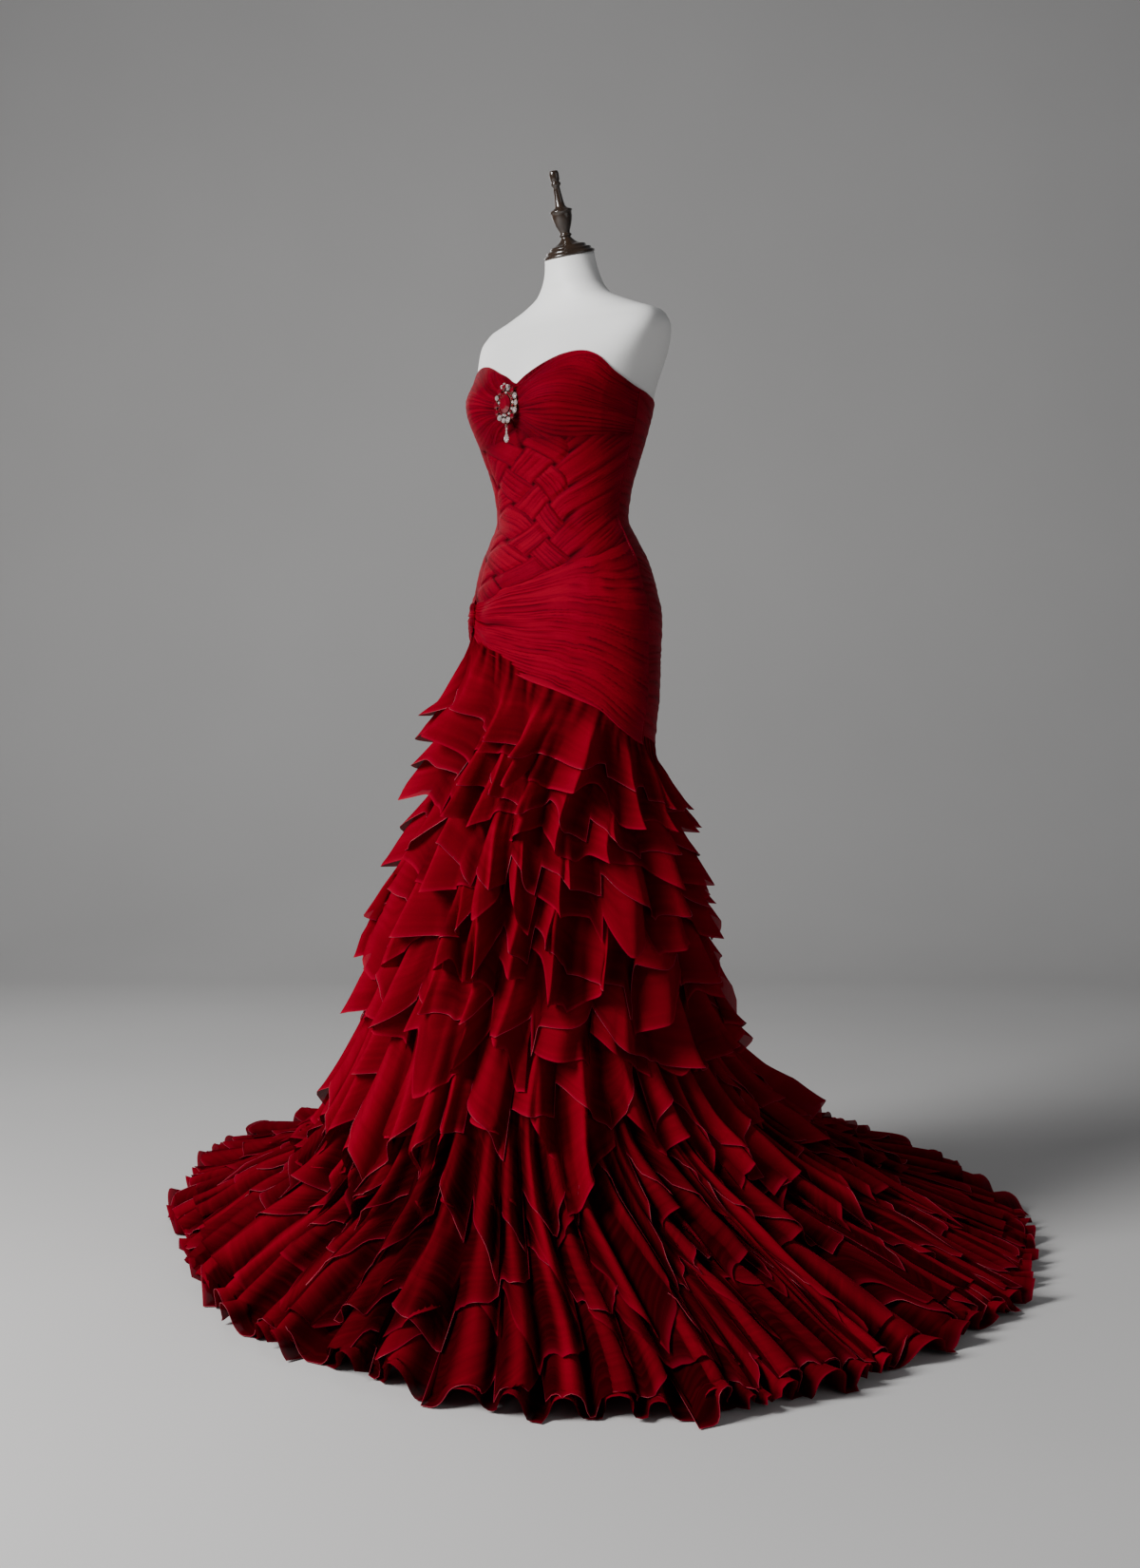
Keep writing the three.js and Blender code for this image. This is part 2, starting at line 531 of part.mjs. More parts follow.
// Each piece of the brooch is made about its own origin, with X across, Z up and its front at -Y.
function buildBrooch() {
  const outline = new THREE.Shape();
  const inside = BROOCH.inside;
  outline.absellipse(0, 0, BROOCH.half * inside, BROOCH.tall * inside, 0, Math.PI * 2);
  const plate = new THREE.ExtrudeGeometry(outline, {
    depth: BROOCH.thick, bevelEnabled: false, curveSegments: 12,
  });
  let setting = solid(plate, turnX(90));
  const stone = new THREE.SphereGeometry(STONES.radius, 6, 5).scale(1, STONES.squash, 1);
  for (let i = 0; i < STONES.count; i += 1) {
    const turn = (i * 2 * Math.PI) / STONES.count;
    setting = setting.add(solid(stone, move(
      BROOCH.half * STONES.ring * Math.cos(turn),
      -BROOCH.thick - STONES.proud,
      BROOCH.tall * STONES.ring * Math.sin(turn),
    )));
  }
  const ring = new THREE.TorusGeometry(LINK.radius, LINK.wire, 5, 10);
  const neck = new THREE.CylinderGeometry(LINK.neck, LINK.neck, LINK.neckLength, 8);
  const ringZ = -BROOCH.tall * inside - LINK.below;
  const lower = (z) => chain(move(0, -BROOCH.thick, z), turnX(90));
  setting = setting.add(solid(ring, lower(ringZ))).add(solid(neck, lower(ringZ + LINK.neckAt)));
  add('brooch_setting', geometryOf(setting), SILVER).position.set(0, BROOCH.back, BROOCH.z);

  const gem = add('brooch_gem', new THREE.LatheGeometry(profile2(GEM_PROFILE), 16), RUBY);
  gem.rotation.x = radians(180);
  gem.scale.z = GEM.stretch;
  gem.position.set(0, BROOCH.back - BROOCH.thick - GEM.gap, BROOCH.z);

  let drop = solid(ring, chain(move(0, 0, -LINK.hang), turnY(90)));
  DROP_STONES.forEach(({ z, radius }) => {
    drop = drop.add(solid(new THREE.SphereGeometry(radius, 8, 5), move(0, 0, z)));
  });
  drop = drop.add(solid(lathe(PEAR_PROFILE, 10).scale(1, PEAR_SQUASH, 1)));
  add('brooch_drop', geometryOf(drop), SILVER)
    .position.set(0, BROOCH.back - BROOCH.thick, BROOCH.z + ringZ);
}

// ---------------------------------------------------------------- underskirt
// A column of the underskirt: its mid points from the drape's foot to the floor.
const SKIRT_OFF = 3;
const SKIRT_DROP = 2.2;      // the skirt's head lies this far under the drape's foot
const FLOUNCE_GAP = 0.5;     // air between the underskirt and the seam of a flounce
const angleOf = (column) => column * STEP;

function skirtColumn(column, side = 0) {
  const angle = angleOf(column);
  const head = wrapFoot(angle) - SKIRT_DROP;
  return [0, ...SKIRT_ROWS].map((share) => {
    const z = THREE.MathUtils.lerp(head, SKIRT_WALL / 2, share);
    return skirtPoint(angle, z, SKIRT_OFF).addScaledVector(along(angle), side * SEAM_GAP / 2);
  });
}

function buildUnderskirt() {
  const gore = (name, first, last) => {
    const columns = [];
    for (let c = first; c <= last; c += 1) {
      columns.push(skirtColumn(c, Number(c === first) - Number(c === last)));
    }
    const grid = columns[0].map((_, r) => columns.map((column) => column[r]));
    add(name, wallGeometry(grid, SKIRT_WALL, false), CRIMSON_LINING);
  };
  const quarter = ROUND_STEPS / 4;
  gore('underskirt_back_left', 0, quarter);
  gore('underskirt_back_right', quarter, quarter * 2);
  gore('underskirt_front_right', quarter * 2, quarter * 3);
  gore('underskirt_front_left', quarter * 3, quarter * 4);
}

// ---------------------------------------------------------------- flounces
const TIER_ROWS = [0, 0.45, 1];
const HALF_FLUTE = ROUND_STEPS / FLUTES / 2;   // every other tier is turned by half a flute

// The point of the underskirt's own column at a height, by its mid points.
function onUnderskirt(column, z) {
  const points = skirtColumn(column);
  for (let i = 1; i < points.length; i += 1) {
    if (z >= points[i].z) {
      const share = (points[i - 1].z - z) / (points[i - 1].z - points[i].z);
      const point = points[i - 1].clone().lerp(points[i], share);
      const slope = points[i].clone().sub(points[i - 1]);
      return { point, slope };
    }
  }
  return { point: points[points.length - 1].clone(), slope: new THREE.Vector3(0, 0, -1) };
}

function flounceGrid({ seam, hem, stand, swing }, phase) {
  const grid = TIER_ROWS.map(() => []);
  for (let c = 0; c < ROUND_STEPS; c += 1) {
    const head = wrapFoot(angleOf(c)) - SKIRT_DROP;
    const flute = 2 * ripple(((c + phase) * FLUTES) / ROUND_STEPS) - 1;
    TIER_ROWS.forEach((row, r) => {
      const share = THREE.MathUtils.lerp(seam, hem, row);
      const { point: base, slope } = onUnderskirt(c, head * (1 - share));
      const out = new THREE.Vector3(base.x, base.y, 0).setLength(-slope.z);
      const normal = out.setZ(Math.hypot(slope.x, slope.y)).normalize();
      const off = (SKIRT_WALL + CHIFFON_WALL) / 2 + FLOUNCE_GAP + row * (stand + swing * flute);
      grid[r].push(base.add(normal.multiplyScalar(off)));
    });
  }
  return grid;
}

function buildFlounces() {
  TIERS.forEach((tier, i) => {
    const name = `flounce_${String(i + 1).padStart(2, '0')}`;
    const odd = i % 2;
    const grid = flounceGrid(tier, odd * HALF_FLUTE);
    add(name, wallGeometry(grid, CHIFFON_WALL, true), odd ? CRIMSON_DEEP : CRIMSON);
  });
}

buildForm();
buildBodice();
buildDrape();
buildZip();
buildBrooch();
buildUnderskirt();
buildFlounces();

export default gown;
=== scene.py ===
"""Strapless mermaid gown in pleated and layered chiffon, worn by a limbless dress form.

Laid out as an add-on: settings, one operator for each group of pieces, one for the stage and a
panel that lists them. Metres, +Z up. Angles round the body are in degrees: 0 is the wearer's left
side (+X), 90 the centre back (+Y), 180 the right side and 270 the centre front (-Y).
"""
import math

import bmesh
import bpy
import numpy as np
from bpy.props import FloatProperty, FloatVectorProperty, IntProperty, PointerProperty
from mathutils import Matrix, Vector


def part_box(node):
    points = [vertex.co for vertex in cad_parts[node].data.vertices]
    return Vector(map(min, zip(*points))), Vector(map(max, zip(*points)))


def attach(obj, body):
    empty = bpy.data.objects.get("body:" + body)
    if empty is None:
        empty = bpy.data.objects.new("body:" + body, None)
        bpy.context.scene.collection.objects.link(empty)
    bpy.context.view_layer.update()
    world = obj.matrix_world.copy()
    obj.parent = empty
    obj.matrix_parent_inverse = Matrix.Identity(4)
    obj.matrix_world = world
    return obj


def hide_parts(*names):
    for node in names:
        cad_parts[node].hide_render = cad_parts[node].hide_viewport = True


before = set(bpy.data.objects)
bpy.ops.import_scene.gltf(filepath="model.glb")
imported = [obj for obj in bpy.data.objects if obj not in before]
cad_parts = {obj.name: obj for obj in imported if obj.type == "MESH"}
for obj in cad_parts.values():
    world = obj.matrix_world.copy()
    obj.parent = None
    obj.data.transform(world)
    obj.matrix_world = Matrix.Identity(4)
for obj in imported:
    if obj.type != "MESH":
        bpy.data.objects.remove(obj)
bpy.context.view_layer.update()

bl_info = {
    "name": "Mermaid Gown on Dress Form",
    "version": (1, 0, 0),
    "blender": (4, 5, 0),
    "location": "3D View > Sidebar > Gown",
    "description": "Builds a ruched chiffon mermaid gown with its dress form, brooch and zip",
    "category": "Object",
}

GOWN = "gown_and_form"
MM = 0.001
TURN = 360.0
FRONT, BACK, LEFT, RIGHT = 270.0, 90.0, 0.0, 180.0


# ------------------------------------------------------------------ the part's own tables
def rows_in_metres(lengths, rows):
    """The table as an array, with its first so many columns turned from millimetres to metres."""
    values = np.array(rows, float)
    values[:, :lengths] *= MM
    return values


# Torso sections: height, half width, front depth, back depth, centre in Y, squareness.
TORSO = rows_in_metres(5, [
    [985, 171, 107, 121, 0, 2.1], [1061, 174, 110, 125, 0, 2.1], [1110, 163, 106, 120, 0, 2.1],
    [1155, 148, 100, 110, 0, 2.1], [1190, 129, 93, 97, 0, 2.1], [1225, 113, 86, 84, 0, 2.1],
    [1265, 118, 88, 86, 0, 2.1], [1310, 131, 94, 97, 0, 2.1], [1355, 145, 99, 108, 0, 2.1],
    [1405, 156, 100, 117, 0, 2.2], [1450, 164, 88, 117, 4, 2.4], [1490, 176, 78, 106, 12, 2.7],
    [1525, 184, 64, 86, 20, 2.8], [1546, 176, 54, 72, 24, 2.6], [1562, 138, 48, 62, 25, 2.4],
    [1578, 98, 45, 55, 25, 2.2], [1592, 70, 45, 50, 25, 2.1], [1608, 55, 46, 47, 24, 2.0],
])
BUST = {"apart": 0.078, "height": 1.404, "reach": 0.044, "outer": 0.046, "inner": 0.062,
        "above": 0.050, "below": 0.043, "edge": 2.2}
NECK = {"z": 1.656, "radius": 0.041, "y": 0.015, "lean": 17.0, "waist": 0.045}

# Skirt sections: height, reach to the left, right, front and back, spread towards the hem's line.
SKIRT = rows_in_metres(5, [
    [1.5, 480, 560, 480, 700, 1], [35, 400, 480, 420, 580, 0.68], [90, 330, 420, 372, 480, 0.38],
    [170, 276, 368, 332, 400, 0.16], [270, 240, 340, 308, 330, 0.04], [390, 216, 312, 284, 268, 0],
    [520, 200, 284, 256, 218, 0], [650, 186, 248, 214, 168, 0], [764, 166, 206, 166, 132, 0],
    [858, 162, 184, 124, 117, 0], [930, 170, 171, 108, 120, 0], [1000, 173, 173, 109, 123, 0],
    [1070, 174, 174, 110, 125, 0],
])
# Edges round the body: an angle, and there the hem's reach or an edge's height.
HEM = [[0, 655], [30, 718], [60, 822], [90, 990], [120, 1180], [147, 1240], [168, 1080],
       [195, 765], [222, 590], [250, 552], [283, 572], [306, 648], [335, 668], [360, 655]]
NECKLINE = [[0, 1418], [45, 1398], [90, 1386], [135, 1398], [180, 1418], [206, 1440], [240, 1478],
            [256, 1464], [270, 1432], [284, 1464], [300, 1478], [334, 1440], [360, 1418]]
BAND_FOOT = [[180, 1349], [225, 1340], [250, 1338], [270, 1353], [290, 1338], [315, 1340],
             [360, 1349]]
WRAP_HEAD = [[180, 1150], [210, 1112], [233, 1086], [272, 1118], [318, 1154], [345, 1176],
             [360, 1186]]
WRAP_FOOT = [[0, 862], [25, 846], [90, 852], [140, 900], [185, 975], [214, 1030], [233, 1052],
             [243, 1012], [286, 958], [318, 926], [345, 880], [360, 862]]

TORSO_FLOOR = 0.985
BODICE_OUT = 0.0028          # the bodice's outer face stands this far off the body's surface
DRAPE_OUT = 0.0048           # and the hip drape's
CLOTH = 0.0016               # depth of a panel's turned edge
KNOT = {"angle": 233.0, "z": 1.070, "seat": 0.0090, "clear": 4.0}
ZIP_FOOT = 1.0300
BROOCH_Z = 1.396
SKIRT_OFF = 0.003            # the underskirt lies this far out of the skirt's outline
SKIRT_DROP = 0.0022          # and starts this far below the drape's foot


# ------------------------------------------------------------------ small mathematics
def smooth(low, high, at):
    """0 below low, 1 above high and eased between them."""
    share = np.clip((at - low) / (high - low), 0.0, 1.0)
    return share * share * (3.0 - 2.0 * share)


def mix(a, b, share):
    return a + (b - a) * share


def bell(away, width):
    """1 at no distance, falling to nothing over a few widths on either side."""
    return np.exp(-(away / width) ** 2)


def fading(away, width):
    """1 at no distance, falling to nothing over a few widths."""
    return np.exp(-away / width)


def through(keys, values, at):
    """A smooth line through the values that never overshoots them."""
    keys, values = np.asarray(keys, float), np.asarray(values, float)
    at = np.clip(at, keys[0], keys[-1])
    step = np.diff(keys)
    slope = np.diff(values) / step
    tangent = np.zeros_like(values)
    tangent[0], tangent[-1] = slope[0], slope[-1]
    both = slope[1:] * slope[:-1]
    total = np.where(both > 0, slope[1:] + slope[:-1], 1.0)
    tangent[1:-1] = np.where(both > 0, 2.0 * both / total, 0.0)
    i = np.clip(np.searchsorted(keys, at, side="right") - 1, 0, len(step) - 1)
    t = (at - keys[i]) / step[i]
    t2, t3 = t * t, t * t * t
    return (values[i] * (2 * t3 - 3 * t2 + 1) + tangent[i] * step[i] * (t3 - 2 * t2 + t)
            + values[i + 1] * (3 * t2 - 2 * t3) + tangent[i + 1] * step[i] * (t3 - t2))


def edge(rows, angle):
    """An edge's height or reach in metres at an angle, eased between its rows as the part's is."""
    table = np.asarray(rows, float)
    at = np.clip(angle, table[0, 0], table[-1, 0])
    i = np.clip(np.searchsorted(table[:, 0], at, side="right") - 1, 0, len(table) - 2)
    share = (at - table[i, 0]) / (table[i + 1, 0] - table[i, 0])
    eased = (share * share * (3.0 - 2.0 * share) + share) / 2.0
    return mix(table[i, 1], table[i + 1, 1], eased) * MM


def soft_edge(rows, angle, width=9.0, keep=None):
    """The same edge with its corners rounded over a few degrees, except at the angle to keep."""
    table = np.asarray(rows, float)
    closed = table[-1, 0] - table[0, 0] == TURN
    total = 0.0
    for shift in np.linspace(-width, width, 9):
        at = np.mod(angle + shift, TURN) if closed else angle + shift
        total = total + edge(rows, at)
    if keep is None:
        return total / 9
    return mix(edge(rows, angle), total / 9, smooth(0.0, width, np.abs(angle - keep)))


def whole_turn(angle):
    return np.mod(angle, TURN)


def noise(u, v, seed, turn=None):
    """Smooth noise from -1 to 1 over u and v in cells. u repeats after turn cells."""
    cells = 64
    lattice = np.random.default_rng(seed).uniform(-1.0, 1.0, (cells, cells))
    u, v = np.broadcast_arrays(np.asarray(u, float), np.asarray(v, float))
    iu, iv = np.floor(u).astype(int), np.floor(v).astype(int)
    fu, fv = u - iu, v - iv
    fu, fv = fu * fu * (3 - 2 * fu), fv * fv * (3 - 2 * fv)
    wrap = turn or cells
    a, b = np.mod(iu, wrap) % cells, np.mod(iu + 1, wrap) % cells
    c, d = np.mod(iv, cells), np.mod(iv + 1, cells)
    return mix(mix(lattice[a, c], lattice[b, c], fu), mix(lattice[a, d], lattice[b, d], fu), fv)


PLEATS = 97                  # pleats' own widths, heights and tones repeat after so many


def uneven(phase, seed, spread=0.55):
    """The same turns, with pleats of uneven widths."""
    widths = np.random.default_rng(seed).uniform(1 - spread, 1 + spread, PLEATS)
    marks = np.concatenate([[0.0], np.cumsum(widths)]) * PLEATS / widths.sum()
    turns = np.floor(phase / PLEATS) * PLEATS
    return turns + np.interp(phase - turns, marks, np.arange(PLEATS + 1.0))


def pleats_own(index, seed, least):
    """Each pleat's own share, from least to 1."""
    own = np.random.default_rng(seed).uniform(least, 1.0, PLEATS)
    return own[np.mod(index.astype(int), PLEATS)]


def creases(phase, along, seed, least=0.2, width=0.24):
    """Painted shade across each pleat: dark in the crease over it and under its drop, with each
    pleat's own brightness as painted streaks of sheen. Also how deep the crease is there.
    """
    index = np.floor(phase)
    share = phase - index
    own = pleats_own(index, seed, 0.72)
    depth = least + (1 - least) * np.clip(0.5 + 0.95 * noise(along, index, seed + 1), 0, 1)
    tone = own * (1 - depth * fading(share, width)) - 0.55 * depth * smooth(0.80, 1.0, share)
    return np.clip(tone, 0, 1), depth


def lapped(phase, seed, sharp=0.84):
    """Pleats that lap one over the next, from 0 to 1: a slow rise, then a sharp drop."""
    index = np.floor(phase)
    share = phase - index
    return pleats_own(index, seed, 0.45) * share ** 0.75 * (1.0 - smooth(sharp, 1.0, share))


# ------------------------------------------------------------------ the body's surfaces
def bust_relief(x, z):
    """How far the busts stand out of the plain torso."""
    side = np.abs(x) - BUST["apart"]
    rise = z - BUST["height"]
    wide = np.where(side < 0, BUST["inner"], BUST["outer"])
    tall = np.where(rise > 0, BUST["above"], BUST["below"])
    return BUST["reach"] * np.exp(-side ** 2 / (2 * wide ** 2) - rise ** 2 / (2 * tall ** 2))


def torso_point(angle, z, off):
    """Points on the torso's surface, moved out by off."""
    angle, z, off = np.broadcast_arrays(angle, z, off)
    c, s = np.cos(np.radians(angle)), np.sin(np.radians(angle))
    half, front, back, mid, square = [through(TORSO[:, 0], TORSO[:, k], z) for k in range(1, 6)]
    depth = np.where(s > 0, back, front) + off
    x = (half + off) * np.sign(c) * np.abs(c) ** (2 / square)
    y = mid + depth * np.sign(s) * np.abs(s) ** (2 / square)
    y = y - bust_relief(x, z) * np.clip(-s * BUST["edge"], 0, 1)
    return np.stack([x, y, z], -1)


def skirt_point(angle, z, off):
    """Points on the skirt's outline, moved out by off."""
    angle, z, off = np.broadcast_arrays(angle, z, off)
    c, s = np.cos(np.radians(angle)), np.sin(np.radians(angle))
    left, right, front, back, spread = [
        through(SKIRT[:, 0], SKIRT[:, k], z) for k in range(1, 6)]
    side = smooth(-0.25, 0.25, c)
    behind = smooth(-0.25, 0.25, s)
    across = mix(right, left, side) + off
    depth = mix(front, back, behind) + off
    hem = edge(HEM, whole_turn(angle)) + off
    return np.stack([mix(across * c, hem * c, spread), mix(depth * s, hem * s, spread), z], -1)


HIP_EASE = 0.002             # the panels swing this far out below the form
HIP_BLEND = (1.03, 0.94)     # between these heights the torso's surface goes over to the skirt's
PEAK_ARC = {"high": 0.007, "angle": 51, "wide": 13}   # the top edge's arc outside each cup's peak


def hip_point(angle, z, off):
    """The torso's surface, which goes over to the skirt's below the form."""
    low = smooth(*HIP_BLEND, z)[..., None]
    return mix(torso_point(angle, z, off), skirt_point(angle, z, off + HIP_EASE), low)


def neck_edge(angle):
    """The top edge, with a fuller arc down from each cup's peak than the rows have."""
    arc = PEAK_ARC["high"] * bell(np.abs(angle - FRONT) - PEAK_ARC["angle"], PEAK_ARC["wide"])
    return soft_edge(NECKLINE, angle, keep=FRONT) + arc


def wrap_foot(angle):
    return soft_edge(WRAP_FOOT, whole_turn(angle), keep=KNOT["angle"])


def skirt_head(angle):
    return wrap_foot(angle) - SKIRT_DROP


PER_DEGREE, PER_SHARE = 2, 200            # points of the lookup to a degree and to a share of 1
FIRST_SHARE, LAST_SHARE = -0.04, 1.06     # it runs a little over the drape's foot and past the hem
FLOOR = 0.0008                            # the cloth's middle lies this far over the floor
BEYOND = 1.1                              # metres along the floor to a share of 1 past the hem


def skirt_lookup():
    """The underskirt's points and outward directions, for each angle and share of the way down."""
    steps = round((LAST_SHARE - FIRST_SHARE) * PER_SHARE)
    shares = np.linspace(FIRST_SHARE, LAST_SHARE, steps + 1)
    angle, share = np.meshgrid(np.linspace(0, TURN, 360 * PER_DEGREE + 1), shares, indexing="ij")
    z = np.maximum(skirt_head(angle) * (1 - share), FLOOR)
    points = skirt_point(angle, z, SKIRT_OFF)
    beyond = np.maximum(share - 1.0, 0.0)[..., None] * BEYOND
    outward = np.stack([np.cos(np.radians(angle)), np.sin(np.radians(angle)), 0 * angle], -1)
    points = points + outward * beyond
    down = np.gradient(points, axis=1)
    along = np.gradient(points, axis=0)
    along[[0, -1]] = (points[[1, 1]] - points[[-2, -2]]) / 2
    normal = np.cross(down, along)
    return points, normal / np.linalg.norm(normal, axis=-1, keepdims=True)


SKIRT_POINTS, SKIRT_NORMALS = skirt_lookup()


def on_skirt(angle, share):
    """The underskirt's point and outward direction at an angle and share of the way down."""
    u = whole_turn(angle) * PER_DEGREE
    v = (np.clip(share, FIRST_SHARE, LAST_SHARE - 0.0001) - FIRST_SHARE) * PER_SHARE
    iu, iv = np.floor(u).astype(int), np.floor(v).astype(int)
    fu, fv = (u - iu)[..., None], (v - iv)[..., None]
    ju = np.minimum(iu + 1, len(SKIRT_POINTS) - 1)

    def read(field):
        near = mix(field[iu, iv], field[ju, iv], fu)
        return mix(near, mix(field[iu, iv + 1], field[ju, iv + 1], fu), fv)

    normal = read(SKIRT_NORMALS)
    return read(SKIRT_POINTS), normal / np.linalg.norm(normal, axis=-1, keepdims=True)


def outward_of(points):
    """Directions out of a grid whose rows run down and whose columns run anticlockwise."""
    normal = np.cross(np.gradient(points, axis=0), np.gradient(points, axis=1))
    return normal / np.maximum(np.linalg.norm(normal, axis=-1, keepdims=True), 1e-12)


# ------------------------------------------------------------------ meshes
def link(obj):
    bpy.context.scene.collection.objects.link(obj)
    return obj


def grid_indices(rows, cols, closed):
    """The faces of a grid of points. Its last column joins its first if it is closed."""
    last = cols if closed else cols - 1
    r, c = np.meshgrid(np.arange(rows - 1), np.arange(last), indexing="ij")
    n = (c + 1) % cols
    corners = [r * cols + c, (r + 1) * cols + c, (r + 1) * cols + n, r * cols + n]
    return np.stack(corners, -1).reshape(-1, 4)


def put_values(mesh, name, values):
    layer = mesh.attributes.new(name, "FLOAT", "POINT")
    layer.data.foreach_set("value", np.ascontiguousarray(values, dtype=np.float32).ravel())


def piece_from(name, vertices, faces, uv=None, values=None):
    """A smooth-shaded mesh object. uv is in metres of cloth at each vertex; values are masks."""
    mesh = bpy.data.meshes.new(name)
    faces = faces.tolist() if isinstance(faces, np.ndarray) else faces
    mesh.from_pydata(np.asarray(vertices, float).reshape(-1, 3).tolist(), [], faces)
    if uv is not None:
        layer = mesh.uv_layers.new(name="cloth")
        corner = np.empty(len(mesh.loops), dtype=np.int32)
        mesh.loops.foreach_get("vertex_index", corner)
        layer.data.foreach_set("uv", np.asarray(uv, np.float32).reshape(-1, 2)[corner].ravel())
    for key, value in (values or {}).items():
        put_values(mesh, key, value)
    mesh.polygons.foreach_set("use_smooth", [True] * len(mesh.polygons))
    mesh.update()
    return link(bpy.data.objects.new(name, mesh))


def cloth_uv(points):
    """Each point's place in the flat cloth, in metres: across and down."""
    across = np.linalg.norm(np.diff(points, axis=1), axis=-1)
    down = np.linalg.norm(np.diff(points, axis=0), axis=-1)
    u = np.concatenate([np.zeros((points.shape[0], 1)), np.cumsum(across, 1)], 1)
    v = np.concatenate([np.zeros((1, points.shape[1])), np.cumsum(down, 0)], 0)
    u = np.broadcast_to(u.mean(0, keepdims=True), v.shape)
    return np.stack([u, np.broadcast_to(v.mean(1, keepdims=True), v.shape)], -1)


def panel_grid(first, last, columns, rows):
    """Angles across a panel and shares of the way down it."""
    return np.meshgrid(np.linspace(first, last, columns), np.linspace(0, 1, rows))


def panel(name, points, values, depth=CLOTH):
    """A panel whose edges are turned in behind it, so that it reads as cloth with a body."""
    rows, cols = points.shape[:2]
    normal = outward_of(points)
    # The row or column that each turned one lies behind, and how far.
    turned = [(8, depth), (3, depth), (0, depth), (0, depth * 0.45)]

    def padded(count):
        head = [(min(k, count // 2), d) for k, d in turned]
        foot = [(count - 1 - k, d) for k, d in reversed(head)]
        return head + [(k, 0.0) for k in range(count)] + foot

    down, along = np.array(padded(rows)), np.array(padded(cols))
    r, c = down[:, :1].astype(int), along[:, 0].astype(int)
    sunk = np.maximum(down[:, 1:], along[:, 1])
    shell = points[r, c] - normal[r, c] * sunk[..., None]
    faces = grid_indices(len(down), len(along), False)
    masks = {k: np.asarray(v)[r, c] for k, v in values.items()}
    return piece_from(name, shell, faces, cloth_uv(points)[r, c], masks)


def single(name, points, values, closed):
    """One ply of cloth."""
    faces = grid_indices(points.shape[0], points.shape[1], closed)
    return piece_from(name, points, faces, cloth_uv(points), values)


def lathe(name, profile, steps, place):
    """A turned solid about Z from (radius, height) points that start and end on the axis."""
    turn = np.linspace(0, 2 * math.pi, steps, endpoint=False)
    ring = [(r * math.cos(t), r * math.sin(t), z) for r, z in profile[1:-1] for t in turn]
    count = len(profile) - 2
    after = [(i + 1) % steps for i in range(steps)]
    faces = [[k + i, k + after[i], k + steps + after[i], k + steps + i]
             for k in range(0, (count - 1) * steps, steps) for i in range(steps)]
    foot, top, base = count * steps, count * steps + 1, (count - 1) * steps
    ring += [(0, 0, profile[0][1]), (0, 0, profile[-1][1])]
    faces += [[foot, after[i], i] for i in range(steps)]
    faces += [[top, base + i, base + after[i]] for i in range(steps)]
    return piece_from(name, [place @ Vector(p) for p in ring], faces)


def object_from(name, bm):
    """An object of that name with the bmesh in it. The bmesh is used up."""
    mesh = bpy.data.meshes.new(name)
    bm.to_mesh(mesh)
    bm.free()
    return link(bpy.data.objects.new(name, mesh))


def joined(name, objects):
    """The objects' meshes in one object of that name."""
    bm = bmesh.new()
    for obj in objects:
        bm.from_mesh(obj.data)
        bpy.data.objects.remove(obj)
    return object_from(name, bm)


def placed(name, source, places, scales=None):
    """Copies of a source mesh at the places, in one mesh."""
    bm = bmesh.new()
    for place, scale in zip(places, scales or [1.0] * len(places)):
        part = source.data.copy()
        part.transform(Matrix.Translation(place) @ Matrix.Diagonal((scale, scale, scale, 1.0)))
        bm.from_mesh(part)
        bpy.data.meshes.remove(part)
    return object_from(name, bm)


def polyline(name, lines, closed=False):
    """A mesh of edges only, one chain for each list of points."""
    vertices, edges = [], []
    for points in lines:
        first = len(vertices)
        vertices += [tuple(p) for p in points]
        edges += [(first + i, first + i + 1) for i in range(len(points) - 1)]
        if closed:
            edges.append((len(vertices) - 1, first))
    mesh = bpy.data.meshes.new(name)
    mesh.from_pydata(vertices, edges, [])
    return link(bpy.data.objects.new(name, mesh))


def paint(obj, material):
    obj.data.materials.clear()
    obj.data.materials.append(material)


def dress(obj, material, body=GOWN, stands_for=()):
    """Gives a piece its material and its body, and hides what it stands for."""
    paint(obj, material)
    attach(obj, body)
    if stands_for:
        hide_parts(*stands_for)
    return obj


# ------------------------------------------------------------------ node trees
def new_tree(name, kind, inputs, outputs):
    """A node group, its input node and its output node. Each socket has a name, a kind and
    perhaps a first value."""
    tree = bpy.data.node_groups.new(name, kind)
    for way, sockets in (("INPUT", inputs), ("OUTPUT", outputs)):
        for label, socket_kind, *default in sockets:
            socket = tree.interface.new_socket(
                label, in_out=way, socket_type="NodeSocket" + socket_kind)
            if default:
                socket.default_value = default[0]
    return tree, tree.nodes.new("NodeGroupInput"), tree.nodes.new("NodeGroupOutput")


def node(tree, kind, **settings):
    made = tree.nodes.new(kind)
    for key, value in settings.items():
        setattr(made, key, value)
    return made


def feed(tree, made, values):
    """Links a node's named inputs to other sockets, or sets them to plain values."""
    for label, value in values.items():
        socket = made.inputs[label]
        if isinstance(value, bpy.types.NodeSocket):
            tree.links.new(value, socket)
        else:
            socket.default_value = value
    return made


def group_once(name):
    """The named node group is built the first time that it is asked for."""
    def wrap(build):
        return lambda: bpy.data.node_groups.get(name) or build(name)
    return wrap


def end_tree(tree, start, output, result):
    """Ends a geometry tree in Realize Instances and Set Material."""
    realize = feed(tree, node(tree, "GeometryNodeRealizeInstances"), {"Geometry": result})
    coat = feed(tree, node(tree, "GeometryNodeSetMaterial"), {
        "Geometry": realize.outputs["Geometry"], "Material": start.outputs["Material"]})
    feed(tree, output, {"Geometry": coat.outputs["Geometry"]})
    return tree


